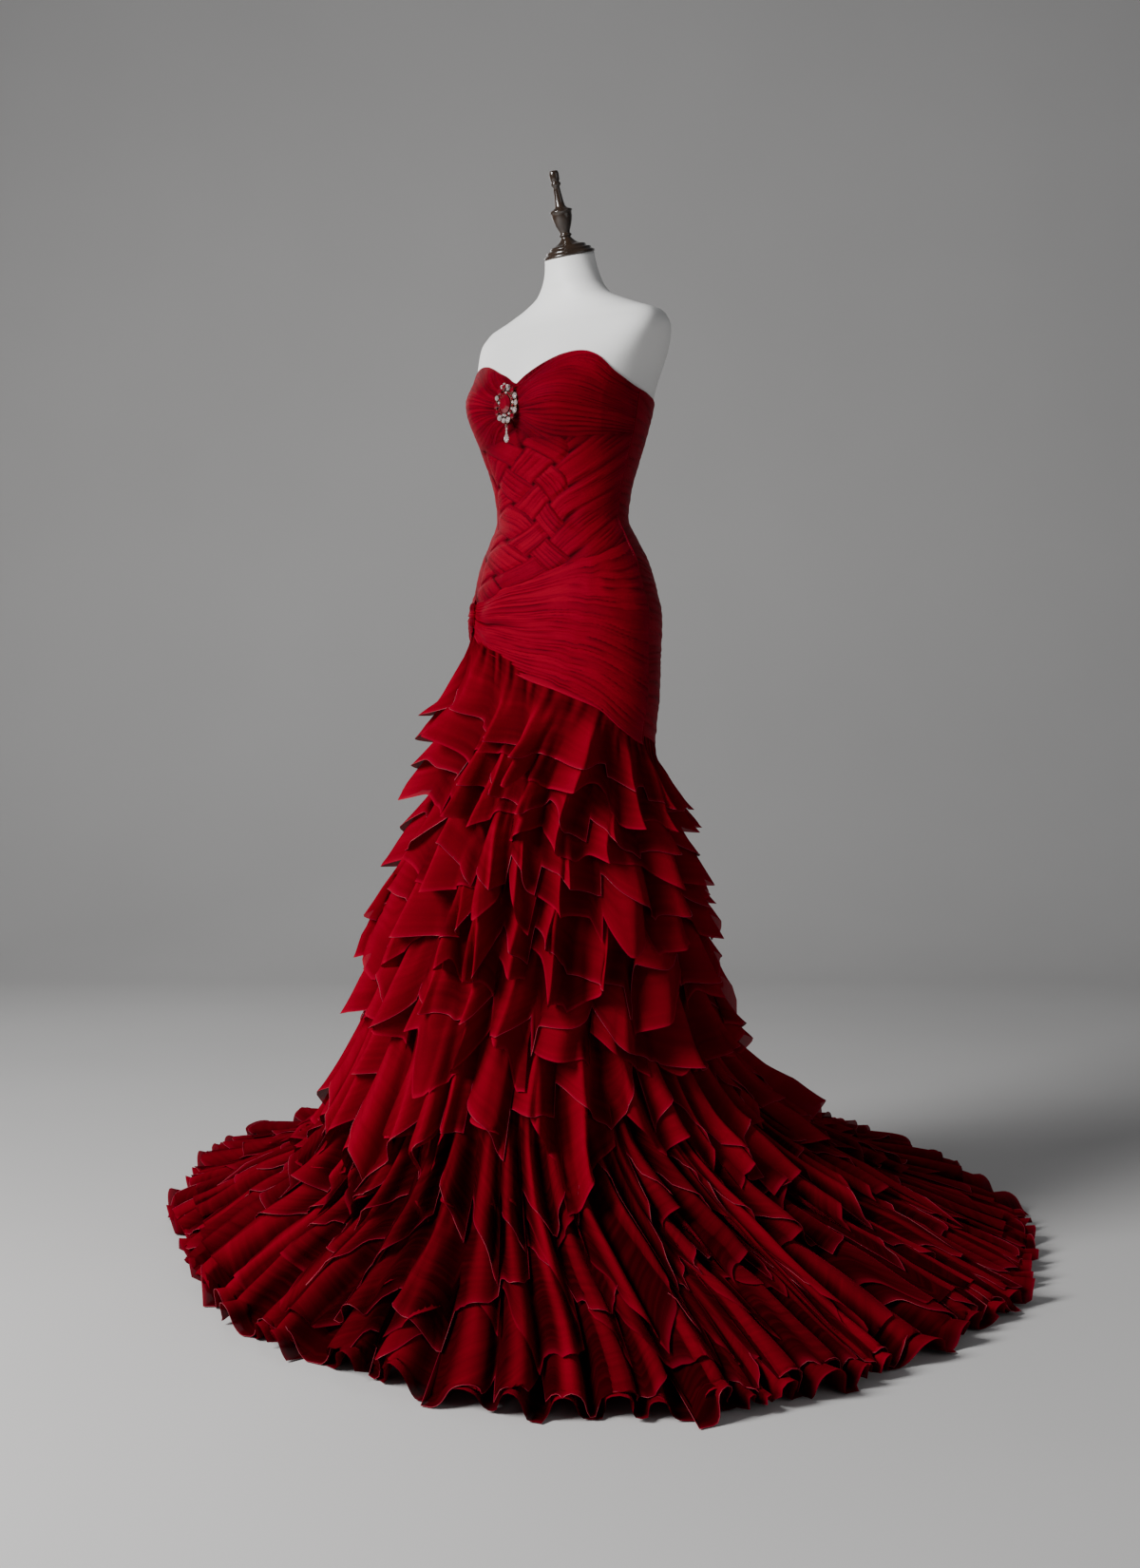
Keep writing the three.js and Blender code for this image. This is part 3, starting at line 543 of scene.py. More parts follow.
@group_once("rolled_cord")
def cord_tree(name):
    """Rolls a round cord along every chain of edges."""
    tree, start, output = new_tree(name, "GeometryNodeTree", [
        ("Geometry", "Geometry"), ("Radius", "Float", 0.0006), ("Sides", "Int", 4),
        ("Material", "Material")], [("Geometry", "Geometry")])
    path = feed(tree, node(tree, "GeometryNodeMeshToCurve"), {"Mesh": start.outputs["Geometry"]})
    ring = feed(tree, node(tree, "GeometryNodeCurvePrimitiveCircle"), {
        "Radius": start.outputs["Radius"], "Resolution": start.outputs["Sides"]})
    tube = feed(tree, node(tree, "GeometryNodeCurveToMesh"), {
        "Curve": path.outputs["Curve"], "Profile Curve": ring.outputs["Curve"], "Fill Caps": True})
    shade = feed(tree, node(tree, "GeometryNodeSetShadeSmooth"), {
        "Geometry": tube.outputs["Mesh"]})
    return end_tree(tree, start, output, shade.outputs["Geometry"])


@group_once("row_of_pieces")
def row_tree(name):
    """Sets a small piece at even spacing along every chain of edges, turned along the chain."""
    tree, start, output = new_tree(name, "GeometryNodeTree", [
        ("Geometry", "Geometry"), ("Spacing", "Float", 0.004), ("Piece", "Object"),
        ("Smallest", "Float", 0.9), ("Largest", "Float", 1.1), ("Seed", "Int", 1),
        ("Material", "Material")], [("Geometry", "Geometry")])
    path = feed(tree, node(tree, "GeometryNodeMeshToCurve"), {"Mesh": start.outputs["Geometry"]})
    spread = feed(tree, node(tree, "GeometryNodeResampleCurve", mode="LENGTH"), {
        "Curve": path.outputs["Curve"], "Length": start.outputs["Spacing"]})
    source = feed(tree, node(tree, "GeometryNodeObjectInfo"), {"Object": start.outputs["Piece"]})
    tangent = node(tree, "GeometryNodeInputTangent")
    align = feed(tree, node(tree, "FunctionNodeAlignRotationToVector", axis="X"), {
        "Vector": tangent.outputs["Tangent"]})
    size = feed(tree, node(tree, "FunctionNodeRandomValue", data_type="FLOAT"), {
        "Seed": start.outputs["Seed"]})
    smallest, largest = [s for s in size.inputs if s.type == "VALUE"][:2]
    tree.links.new(start.outputs["Smallest"], smallest)
    tree.links.new(start.outputs["Largest"], largest)
    place = feed(tree, node(tree, "GeometryNodeInstanceOnPoints"), {
        "Points": spread.outputs["Curve"], "Instance": source.outputs["Geometry"],
        "Rotation": align.outputs["Rotation"],
        "Scale": next(s for s in size.outputs if s.type == "VALUE")})
    return end_tree(tree, start, output, place.outputs["Instances"])


def grown(name, source, tree, settings):
    """A plain mesh from a node tree run on the source's chains. The source is used up."""
    modifier = source.modifiers.new("grow", "NODES")
    modifier.node_group = tree
    sockets = {s.name: s.identifier for s in tree.interface.items_tree
               if s.item_type == "SOCKET" and s.in_out == "INPUT"}
    for label, value in settings.items():
        modifier[sockets[label]] = value
    graph = bpy.context.evaluated_depsgraph_get()
    mesh = bpy.data.meshes.new_from_object(source.evaluated_get(graph))
    source.modifiers.remove(modifier)
    bpy.data.objects.remove(source)
    mesh.name = name
    if not mesh.polygons:
        raise RuntimeError(f"{name}: its node tree made nothing")
    return link(bpy.data.objects.new(name, mesh))


def cord(name, lines, radius, sides, material, closed=False):
    return grown(name, polyline(name + "_path", lines, closed), cord_tree(),
                 {"Radius": radius, "Sides": sides, "Material": material})


def row_of(name, lines, spacing, piece, material, seed, spread=(0.9, 1.1)):
    return grown(name, polyline(name + "_path", lines), row_tree(), {
        "Spacing": spacing, "Piece": piece, "Smallest": spread[0], "Largest": spread[1],
        "Seed": seed, "Material": material})


# ------------------------------------------------------------------ shader groups
def math_node(tree, operation, *values, clamp=False):
    made = node(tree, "ShaderNodeMath", operation=operation, use_clamp=clamp)
    feed(tree, made, dict(enumerate(values)))
    return made.outputs[0]


def stretched(tree, vector, scale):
    mapping = feed(tree, node(tree, "ShaderNodeMapping"), {"Scale": scale, "Vector": vector})
    return mapping.outputs["Vector"]


def noise_node(tree, vector, scale, detail):
    made = node(tree, "ShaderNodeTexNoise")
    feed(tree, made, {"Detail": detail, "Vector": vector, "Scale": scale})
    return made.outputs["Fac"]


def mix_colour(tree, share, a, b):
    made = node(tree, "ShaderNodeMix", data_type="RGBA", blend_type="MIX")
    first, second = [k for k, s in enumerate(made.inputs) if s.type == "RGBA"]
    feed(tree, made, {0: share, first: a, second: b})
    return next(s for s in made.outputs if s.type == "RGBA")


@group_once("crinkled_weave")
def weave_group(name):
    """Crossing threads and a crinkle along the pleats. Puts out a height and a mask from 0 to 1."""
    tree, start, output = new_tree(name, "ShaderNodeTree", [
        ("Vector", "Vector"), ("Threads", "Float", 900.0), ("Crinkle", "Float", 60.0),
        ("Crinkle Depth", "Float", 1.0)], [("Height", "Float"), ("Mask", "Float")])
    vector = start.outputs["Vector"]
    waves = []
    for direction in ("X", "Y"):
        wave = node(tree, "ShaderNodeTexWave", wave_type="BANDS", bands_direction=direction)
        feed(tree, wave, {"Distortion": 0.6, "Detail": 1.0, "Vector": vector,
                          "Scale": start.outputs["Threads"]})
        waves.append(wave.outputs["Fac"])
    along_pleats = stretched(tree, vector, (0.16, 3.4, 1.0))
    crinkle = noise_node(tree, along_pleats, start.outputs["Crinkle"], 4.0)
    deep = math_node(tree, "MULTIPLY", crinkle, start.outputs["Crinkle Depth"])
    small = math_node(tree, "MULTIPLY", math_node(tree, "MULTIPLY", *waves), 0.22)
    feed(tree, output, {"Height": math_node(tree, "ADD", deep, small), "Mask": crinkle})
    return tree


@group_once("fold_colour")
def fold_group(name):
    """Colour over the folds with painted light and shade: painted shade deep in the valleys,
    full colour on the crests and a painted highlight at a rolled edge.
    """
    tree, start, output = new_tree(name, "ShaderNodeTree", [
        ("Crest", "Color", (0.5, 0.01, 0.03, 1)), ("Valley", "Color", (0.05, 0.0, 0.0, 1)),
        ("Rim", "Color", (0.8, 0.1, 0.1, 1)), ("Fold", "Float", 1.0), ("Edge", "Float", 0.0),
        ("Mask", "Float", 0.5)], [("Color", "Color"), ("Roughness", "Float")])
    # Fold is the painted shade mask; Edge mixes in the Rim's painted highlight.
    patchy = math_node(tree, "MULTIPLY_ADD", start.outputs["Mask"], 0.5, -0.25)
    height = math_node(tree, "ADD", start.outputs["Fold"], patchy, clamp=True)
    body = mix_colour(tree, height, start.outputs["Valley"], start.outputs["Crest"])
    feed(tree, output, {
        "Color": mix_colour(tree, start.outputs["Edge"], body, start.outputs["Rim"]),
        "Roughness": math_node(tree, "MULTIPLY_ADD", start.outputs["Mask"], 0.22, 0.46)})
    return tree


@group_once("handled_surface")
def surface_group(name):
    """A hard surface's small unevenness. Puts out a mask, a roughness and a height."""
    tree, start, output = new_tree(name, "ShaderNodeTree", [
        ("Vector", "Vector"), ("Grain", "Float", 40.0), ("Low", "Float", 0.2),
        ("High", "Float", 0.4)], [("Mask", "Float"), ("Roughness", "Float"), ("Height", "Float")])
    vector, grain, low = [start.outputs[label] for label in ("Vector", "Grain", "Low")]
    broad = noise_node(tree, vector, grain, 5.0)
    fine = noise_node(tree, vector, math_node(tree, "MULTIPLY", grain, 14.0), 2.0)
    spread = math_node(tree, "SUBTRACT", start.outputs["High"], low)
    feed(tree, output, {
        "Mask": broad,
        "Roughness": math_node(tree, "ADD", math_node(tree, "MULTIPLY", broad, spread), low),
        "Height": math_node(tree, "ADD", fine, math_node(tree, "MULTIPLY", broad, 0.5))})
    return tree


def material(name, build):
    """The named material, made the first time that it is asked for."""
    found = bpy.data.materials.get(name)
    if found:
        return found
    made = bpy.data.materials.new(name)
    made.use_nodes = True
    tree = made.node_tree
    shader = next(n for n in tree.nodes if n.type == "BSDF_PRINCIPLED")
    build(tree, shader)
    return made


def group_node(tree, group, values):
    return feed(tree, node(tree, "ShaderNodeGroup", node_tree=group), values)


def bump_node(tree, height, strength, distance):
    made = node(tree, "ShaderNodeBump")
    feed(tree, made, {"Strength": strength, "Distance": distance, "Height": height})
    return made.outputs["Normal"]


def attribute(tree, name):
    """A piece's own mask."""
    made = node(tree, "ShaderNodeAttribute", attribute_name=name, attribute_type="GEOMETRY")
    return made.outputs["Fac"]


def object_of(tree):
    return node(tree, "ShaderNodeTexCoord").outputs["Object"]


def rgba(colour, share=1.0):
    """The colour's share of its brightness, as four numbers."""
    return (*(c * share for c in colour), 1.0)


def cloth_material(name, colour, crest, valley, threads, crinkle, depth, sheer=0.0, gloss=0.0):
    """Chiffon: crinkled weave, painted shade in the folds and a painted highlight at the edges,
    both from the piece's own masks, and a soft sheen.

    Crest and valley are shares of the colour; the valley is the colour in painted shade.
    Threads and crinkle are scales of the weave.
    """
    def build(tree, shader):
        cloth = node(tree, "ShaderNodeUVMap", uv_map="cloth").outputs["UV"]
        weave = group_node(tree, weave_group(), {
            "Vector": cloth, "Threads": threads, "Crinkle": crinkle, "Crinkle Depth": depth})
        tone = group_node(tree, fold_group(), {
            "Crest": rgba(colour, crest), "Valley": rgba(colour, valley),
            "Rim": rgba(bpy.context.scene.gown_colours.rim), "Fold": attribute(tree, "fold"),
            "Edge": attribute(tree, "edge"), "Mask": weave.outputs["Mask"]})
        feed(tree, shader, {
            "Base Color": tone.outputs["Color"], "Roughness": tone.outputs["Roughness"],
            "Sheen Weight": 0.2, "Sheen Roughness": 0.35, "Sheen Tint": (1.0, 0.0, 0.06, 1),
            "Specular IOR Level": gloss, "Specular Tint": (1.0, 0.06, 0.11, 1),
            "Normal": bump_node(tree, weave.outputs["Height"], 0.55, 0.0006)})
        if sheer:
            clear = math_node(tree, "MULTIPLY", attribute(tree, "sheer"), sheer)
            feed(tree, shader, {"Alpha": math_node(tree, "SUBTRACT", 1.0, clear)})
    return material(name, build)


def hard_material(name, colour, second, rough, grain, metallic=0.0, coat=0.0, bump=0.08,
                  stretch=None, transmission=0.0, ior=1.5):
    """A hard finish: two close tones, uneven roughness between two values and a faint texture."""
    def build(tree, shader):
        vector = object_of(tree)
        if stretch:
            vector = stretched(tree, vector, stretch)
        face = group_node(tree, surface_group(), {
            "Vector": vector, "Grain": grain, "Low": rough[0], "High": rough[1]})
        feed(tree, shader, {
            "Base Color": mix_colour(tree, face.outputs["Mask"], colour, second),
            "Roughness": face.outputs["Roughness"], "Metallic": metallic, "Coat Weight": coat,
            "Coat Roughness": 0.08, "Transmission Weight": transmission, "IOR": ior,
            "Normal": bump_node(tree, face.outputs["Height"], bump, 0.0005)})
    return material(name, build)


def pleated_cloth():
    return cloth_material("pleated_silk_chiffon", bpy.context.scene.gown_colours.pleats, 1.0, 0.05,
                          threads=1400.0, crinkle=260.0, depth=1.0, gloss=0.16)


def chiffon_cloth():
    return cloth_material("layered_chiffon", bpy.context.scene.gown_colours.chiffon, 1.0, 0.09,
                          threads=1100.0, crinkle=26.0, depth=0.5, sheer=0.05)


def lining_cloth():
    return cloth_material("skirt_lining_cloth", bpy.context.scene.gown_colours.chiffon, 0.5, 0.2,
                          threads=1200.0, crinkle=30.0, depth=0.3)


def hem_cord():
    rim = bpy.context.scene.gown_colours.rim
    return hard_material("crimson_rolled_hem", rgba(rim), rgba(rim, 0.6), (0.4, 0.6), 300.0)


# ------------------------------------------------------------------ settings
def tint(name, description, default):
    return FloatVectorProperty(name=name, description=description, default=default,
                               subtype="COLOR", size=3, min=0, max=1)


def metres(name, description, default):
    return FloatProperty(name=name, description=description, default=default, unit="LENGTH")


def degrees(name, description, default):
    return FloatProperty(name=name, description=description, default=math.radians(default),
                         subtype="ANGLE")


def watts(name, description, default):
    return FloatProperty(name=name, description=description, default=default, subtype="POWER")


def number_of(name, description, default, least):
    return IntProperty(name=name, description=description, default=default, min=least)


class GownColours(bpy.types.PropertyGroup):
    """Colours of the cloths and the form"""
    pleats: tint("Pleated cloth", "Colour of the bodice and hip drape", (0.24, 0.0005, 0.0124))
    chiffon: tint("Chiffon", "Colour of the flounces", (0.255, 0.0005, 0.0128))
    # The rolled hems' own colour, also painted as a highlight along the cloth's edges.
    rim: tint("Rolled hem", "Colour of the rolled hems and worn edges", (0.38, 0.003, 0.026))
    form: tint("Dress form", "Colour of the form's cover", (0.96, 0.955, 0.935))


class PleatSettings(bpy.types.PropertyGroup):
    """Sizes of the bodice's and the drape's pleats"""
    cup_pleats: number_of("Cup pleats", "Pleats down each bust cup", 19, 4)
    cup_height: metres("Cup pleat height", "How far a cup's pleats stand up", 0.0021)
    strap_width: metres("Strap width", "Width of the crossing straps", 0.047)
    strap_pleats: number_of("Strap pleats", "Pleats along each strap", 7, 2)
    strap_lift: metres("Strap lift", "How far a strap passes over the other", 0.0034)
    drape_pleats: number_of("Drape pleats", "Pleats down the hip drape", 27, 6)
    drape_height: metres("Drape pleat height", "How far the drape's pleats stand up", 0.0030)
    back_pleat: metres("Back pleat", "Spacing of the back's pleats", 0.0135)


class FlounceSettings(bpy.types.PropertyGroup):
    """Shape of the flounces"""
    swing: metres("Fold depth", "How far a fold swings in and out at the hem", 0.027)
    meander: FloatProperty(
        name="Meander", description="How far a fold curls sideways, in fold widths",
        default=0.15, min=0)
    point: FloatProperty(
        name="Points", description="Length of the panels' pointed ends", default=1.0, min=0)
    seed: IntProperty(name="Seed", description="Seed of the folds' own widths", default=11)


class StageSettings(bpy.types.PropertyGroup):
    """Camera and light"""
    azimuth: degrees("Azimuth", "The camera's place round the form", 42.0)
    distance: metres("Distance", "The camera's distance from the pole", 2.9)
    height: metres("Height", "The camera's height", 0.895)
    tilt: degrees("Tilt", "The camera's tilt downwards", 2.006)
    pan: degrees("Pan", "The camera's turn to the right", 0.216)
    lens: FloatProperty(name="Lens", description="Focal length in millimetres", default=40.5)
    key: watts("Key light", "Power of the key light", 190.0)
    fill: watts("Fill light", "Power of the fill light", 11.0)


# ------------------------------------------------------------------ stage
class GOWN_OT_stage(bpy.types.Operator):
    """Set the camera, the studio lights and the floor"""
    bl_idname = "gown.stage"
    bl_label = "Stage"

    def execute(self, context):
        stage = context.scene.gown_stage
        a = stage.azimuth
        data = bpy.data.cameras.new("camera")
        data.lens = stage.lens
        data.clip_end = 60.0
        camera = link(bpy.data.objects.new("camera", data))
        place = (math.sin(a) * stage.distance, -math.cos(a) * stage.distance, stage.height)
        camera.location = place
        camera.rotation_euler = (math.pi / 2 - stage.tilt, 0.0, a - stage.pan)
        context.scene.camera = camera

        # The paper runs level to the bend and up behind the form.
        reach, level, bend, rise = 9.0, 3.2, 1.6, 6.0
        profile = [(-reach, 0.0), (level, 0.0)]
        profile += [(level + bend * math.sin(t), bend - bend * math.cos(t))
                    for t in np.linspace(0.1, math.pi / 2, 12)]
        profile.append((level + bend, rise))
        turn = Matrix.Rotation(a, 3, "Z")
        rows = np.array([[turn @ Vector((x, y, z)) for y, z in profile] for x in (-reach, reach)])
        floor = single("floor", rows[::-1], {}, False)
        paint(floor, material("studio_paper", paper_nodes))

        def lamp(name, power, size, place, aim):
            light = bpy.data.lights.new(name, "AREA")
            light.energy = power
            light.shape = "RECTANGLE"
            light.size, light.size_y = size
            obj = link(bpy.data.objects.new(name, light))
            obj.location = turn @ Vector(place)
            direction = obj.location - turn @ Vector(aim)
            obj.rotation_euler = direction.to_track_quat("Z", "Y").to_euler()

        lamp("key_light", stage.key, (1.1, 1.8), (-2.6, -1.9, 2.5), (0.0, 0.0, 0.85))
        lamp("fill_light", stage.fill, (2.4, 2.4), (2.8, -2.4, 1.9), (0.1, 0.0, 0.7))
        lamp("rim_light", stage.fill * 0.9, (1.0, 2.0), (-1.6, 2.6, 2.4), (0.0, 0.0, 1.0))
        world = context.scene.world or bpy.data.worlds.new("studio")
        context.scene.world = world
        world.use_nodes = True
        sky = world.node_tree.nodes["Background"]
        sky.inputs["Color"].default_value = (0.9, 0.93, 1.0, 1)
        sky.inputs["Strength"].default_value = 0.08
        return {"FINISHED"}


def paper_nodes(tree, shader):
    mask = noise_node(tree, object_of(tree), 1.3, 2.0)
    feed(tree, shader, {
        "Base Color": mix_colour(tree, mask, (0.66, 0.65, 0.64, 1), (0.72, 0.71, 0.70, 1)),
        "Roughness": 0.85})


# ------------------------------------------------------------------ dress form
# The neck cap's profile: radius and height in millimetres from the neck's top.
CAP_PROFILE = [
    [0, 0], [42, 0], [42.6, 2], [42, 4], [38, 6.5], [37, 10], [31, 11.5], [29, 16], [21, 18],
    [14, 22.5], [10, 27], [8, 30], [11, 33], [8, 36], [9, 40], [13, 49], [16.5, 61], [17, 68],
    [18.5, 70], [18.5, 72], [12, 75], [8.5, 79], [6.5, 94], [5.5, 109], [8, 112], [8, 115],
    [6, 117], [7.5, 120], [8, 129], [6.5, 134], [0, 135],
]
FORM_SLIM = 0.0035           # under the bodice the form's cover lies this far in
SLIM_ABOVE, SLIM_OVER = 0.004, 0.024      # from just above the top edge, and down over this much
SEAM_GAP = 0.0004


def neck_ring(angle, share):
    """The neck's ring from the torso's last section, at 0, to the leaning top, at 1."""
    lean = math.radians(NECK["lean"])
    t = np.radians(angle)
    x, y = NECK["radius"] * np.cos(t), NECK["radius"] * np.sin(t)
    top = np.stack([x, y * math.cos(lean) + NECK["y"], y * math.sin(lean) + NECK["z"]], -1)
    foot = torso_point(angle, TORSO[-1, 0], 0.0)
    waist = 1.0 - NECK["waist"] * np.sin(math.pi * share)
    ring = mix(foot, top, share)
    centre = ring.mean(axis=-2, keepdims=True)
    return centre + (ring - centre) * np.array([waist, waist, 1.0])


class GOWN_OT_form(bpy.types.Operator):
    """Build the smooth torso and turned cap, and finish the pole and base"""
    bl_idname = "gown.form"
    bl_label = "Dress form"

    def execute(self, context):
        tone = context.scene.gown_colours
        cover = hard_material("form_cover", rgba(tone.form), rgba(tone.form, 0.94),
                              (0.42, 0.6), 9.0, bump=0.12)
        wood = hard_material("dark_turned_wood", (0.012, 0.008, 0.006, 1), (0.05, 0.028, 0.016, 1),
                             (0.16, 0.34), 30.0, coat=0.7, stretch=(3.0, 3.0, 0.35))
        steel = hard_material("brushed_steel", (0.55, 0.56, 0.57, 1), (0.42, 0.43, 0.44, 1),
                              (0.24, 0.42), 60.0, metallic=1.0, stretch=(1, 1, 8))
        angle = np.linspace(0, TURN, 112, endpoint=False)
        heights = np.concatenate([np.linspace(TORSO_FLOOR, 1.34, 26),
                                  np.linspace(1.346, TORSO[-1, 0], 50)])
        rings = []
        for z in heights:
            covered = np.clip((neck_edge(angle) + SLIM_ABOVE - z) / SLIM_OVER, 0, 1)
            rings.append(torso_point(angle, z, -FORM_SLIM * covered))
        rings += [neck_ring(angle, s) for s in np.linspace(0.08, 1.0, 12)]
        points = np.array(rings)[::-1]
        # The top and the foot are turned in over a small edge and closed.
        rim = points[0] - points[0].mean(0)
        points = np.concatenate([[points[0] - rim * 0.6], [points[0] - rim * 0.03], points,
                                 [points[-1] * (0.97, 0.97, 1)], [points[-1] * (0.6, 0.6, 1)]])
        rows, cols = points.shape[:2]
        centre = [points[0].mean(0), (0.0, 0.0, TORSO_FLOOR)]
        faces = grid_indices(rows, cols, True).tolist()
        top, low = rows * cols, rows * cols + 1
        last = (rows - 1) * cols
        faces += [[top, i, (i + 1) % cols] for i in range(cols)]
        faces += [[low, last + (i + 1) % cols, last + i] for i in range(cols)]
        torso = piece_from("smooth_torso", np.concatenate([points.reshape(-1, 3), centre]), faces)
        dress(torso, cover, stands_for=["form_torso"])

        place = (Matrix.Translation((0, NECK["y"], NECK["z"] + SEAM_GAP))
                 @ Matrix.Rotation(math.radians(NECK["lean"]), 4, "X"))
        keys = range(len(CAP_PROFILE))
        halves = np.linspace(0, keys[-1], 2 * keys[-1] + 1)
        radius, height = [through(keys, column, halves) * MM for column in zip(*CAP_PROFILE)]
        cap = lathe("turned_cap", list(zip(radius, height)), 48, place)
        dress(cap, wood, stands_for=["form_neck_cap"])
        for name in ("form_pole", "form_base"):
            paint(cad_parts[name], steel)
        return {"FINISHED"}


# ------------------------------------------------------------------ bodice
# Metres round the body to a degree: over a cup, over the bodice front and over the back.
CUP_ARC, FRONT_ARC, BACK_ARC = 0.0023, 0.0020, 0.0021
GATHER_Z = BROOCH_Z - 0.006               # the cups' pleats run together at this height
LATTICE_Z = 1.225                         # and the straps are counted from this one
STRAP_RISE, STRAP_FALL = 33, 38           # slopes of the two families of straps, in degrees


def cup_piece(name, first, last, seed, settings):
    """One cup, whose pleats fan out from the centre front."""
    angle, down = panel_grid(first, last, 150, 122)
    top = neck_edge(angle)
    foot = soft_edge(BAND_FOOT, angle, keep=FRONT) - 0.003
    z = mix(top, foot, down)
    away = np.abs(angle - FRONT) * CUP_ARC
    gather = 0.34 + 0.66 * (1 - bell(away, 0.05))
    share = (top - GATHER_Z - (z - GATHER_Z) / gather) / (top - foot)
    phase = share * settings.cup_pleats + 0.5 * noise(angle / 26, share * 2.2, seed) \
        + 0.15 * noise(angle / 9, share * 6, seed + 1)
    phase = uneven(phase + 5, seed)
    near = bell(away, 0.055)
    tone, depth = creases(phase, away / 0.035, seed + 7, 0.3)
    depth = mix(depth, 1.2, near)
    fine = 0.25 * lapped(phase * 2.0 + 0.3, seed + 5) * (1 - near)
    rise = lapped(phase, seed + 2) * mix(0.35, 1.0, depth) + fine
    drawn = noise(angle / 9, share * settings.cup_pleats * 0.5, seed + 3)
    puckers = 0.0018 * near * drawn
    hollow = -0.0016 * bell(away, 0.016)
    calm = smooth(0.0, 0.045, down) * smooth(1.0, 0.97, down)
    height = settings.cup_height * (0.6 + 0.9 * near)
    lift = BODICE_OUT + 0.0008 + (height * rise + puckers) * calm + hollow
    # Painted shade: dark in the creases, deeper near the centre front, lighter and darker over the
    # puckers, and a painted shadow along the foot where the cup laps over the bodice front.
    fold = 0.10 + 0.85 * mix(tone, tone ** 2.2 * 0.75, near) + 0.10 * drawn
    fold = np.clip(fold * (1 - 0.55 * fading(z - foot, 0.007)), 0, 1)
    # A painted highlight along the cup's top edge.
    highlit = 0.35 * fading(down, 0.012)
    return panel(name, torso_point(angle, z, lift), {"fold": fold, "edge": highlit})


class GOWN_OT_cups(bpy.types.Operator):
    """Build the two gathered bust cups"""
    bl_idname = "gown.cups"
    bl_label = "Bust cups"

    def execute(self, context):
        settings = context.scene.gown_pleats
        cloth = pleated_cloth()
        for side, first, last, seed in (("right", RIGHT + 0.1, FRONT - 0.02, 21),
                                        ("left", FRONT + 0.02, TURN - 0.1, 31)):
            cup = cup_piece(f"gathered_cup_{side}", first, last, seed, settings)
            dress(cup, cloth, stands_for=[f"bust_cup_{side}"])
        return {"FINISHED"}


def lattice(angle, z, settings):
    """Height and painted shade of the crossing pleated straps, each from about 0 to 1.
    The shade is dark in the pleats' creases and in the gaps between the straps.
    """
    u = (angle - FRONT) * FRONT_ARC
    v = z - LATTICE_Z
    width = settings.strap_width
    bend = 0.22 * noise(u / 0.08, v / 0.07, 41)
    rising, falling = math.radians(STRAP_RISE), math.radians(STRAP_FALL)
    a = (v * math.cos(rising) - u * math.sin(rising)) / width + bend + 0.2
    b = (v * math.cos(falling) + u * math.sin(falling)) / width - bend + 0.1
    # Each family passes over and under in turn. Towards either side only one of them runs on.
    sway = np.clip(np.sin(math.pi * a) * np.sin(math.pi * b) * 3.2, -1, 1)
    left = smooth(302, 322, angle)
    right = smooth(236, 216, angle)
    crossed = 1 - left - right
    heights, folds = [], []
    for phase, sign, gone, seed in ((a, 1.0, right, 43), (b, -1.0, left, 44)):
        share = phase - np.floor(phase)
        crown = 1 - np.abs(2 * share - 1) ** 6
        fine = phase * settings.strap_pleats + 0.3 * noise(u / 0.05, v / 0.05, seed)
        fine = uneven(fine + 200, seed + 8)
        along = (b if sign > 0 else a) * 1.3
        tone, depth = creases(fine, along, seed + 4, 0.1)
        lift = 0.50 * sign * sway * crossed + 0.4 * (1 - crossed)
        border = mix(crown, 1.0, 0.6 * (1 - crossed))
        pleated = 0.26 * depth * lapped(fine, seed + 4, 0.66)
        heights.append(lift + 0.75 * border + pleated - 3.0 * gone)
        # Painted shade in the gaps between the straps.
        dark = mix(0.12, 1.0, smooth(0.25, 0.95, border))
        folds.append((0.12 + 0.85 * tone) * dark)
    return np.maximum(*heights), np.where(heights[0] > heights[1], *folds)


class GOWN_OT_midriff(bpy.types.Operator):
    """Build the bodice front with its crossing pleated straps"""
    bl_idname = "gown.midriff"
    bl_label = "Bodice front"

    def execute(self, context):
        settings = context.scene.gown_pleats
        angle, down = panel_grid(RIGHT + 0.1, TURN - 0.1, 304, 184)
        top = soft_edge(BAND_FOOT, angle, keep=FRONT) + 0.004
        foot = soft_edge(WRAP_HEAD, angle) - 0.006
        z = mix(top, foot, down)
        rise, fold = lattice(angle, z, settings)
        under = 0.0022 * (fading(top - z, 0.006) + fading(z - foot, 0.008))
        points = torso_point(angle, z, BODICE_OUT - 0.0012 + settings.strap_lift * rise - under)
        # Painted shadow under the cups' lower edge and over the drape's head, and painted shade on
        # the straps that pass under.
        shade = 1 - 0.75 * fading(top - z, 0.010) - 0.6 * fading(z - foot, 0.012)
        fold = np.clip(fold * shade + 0.06 * (rise - 1), 0, 1)
        front = panel("woven_bodice_front", points, {"fold": fold, "edge": 0 * fold})
        dress(front, pleated_cloth(), stands_for=["bodice_front"])
        return {"FINISHED"}


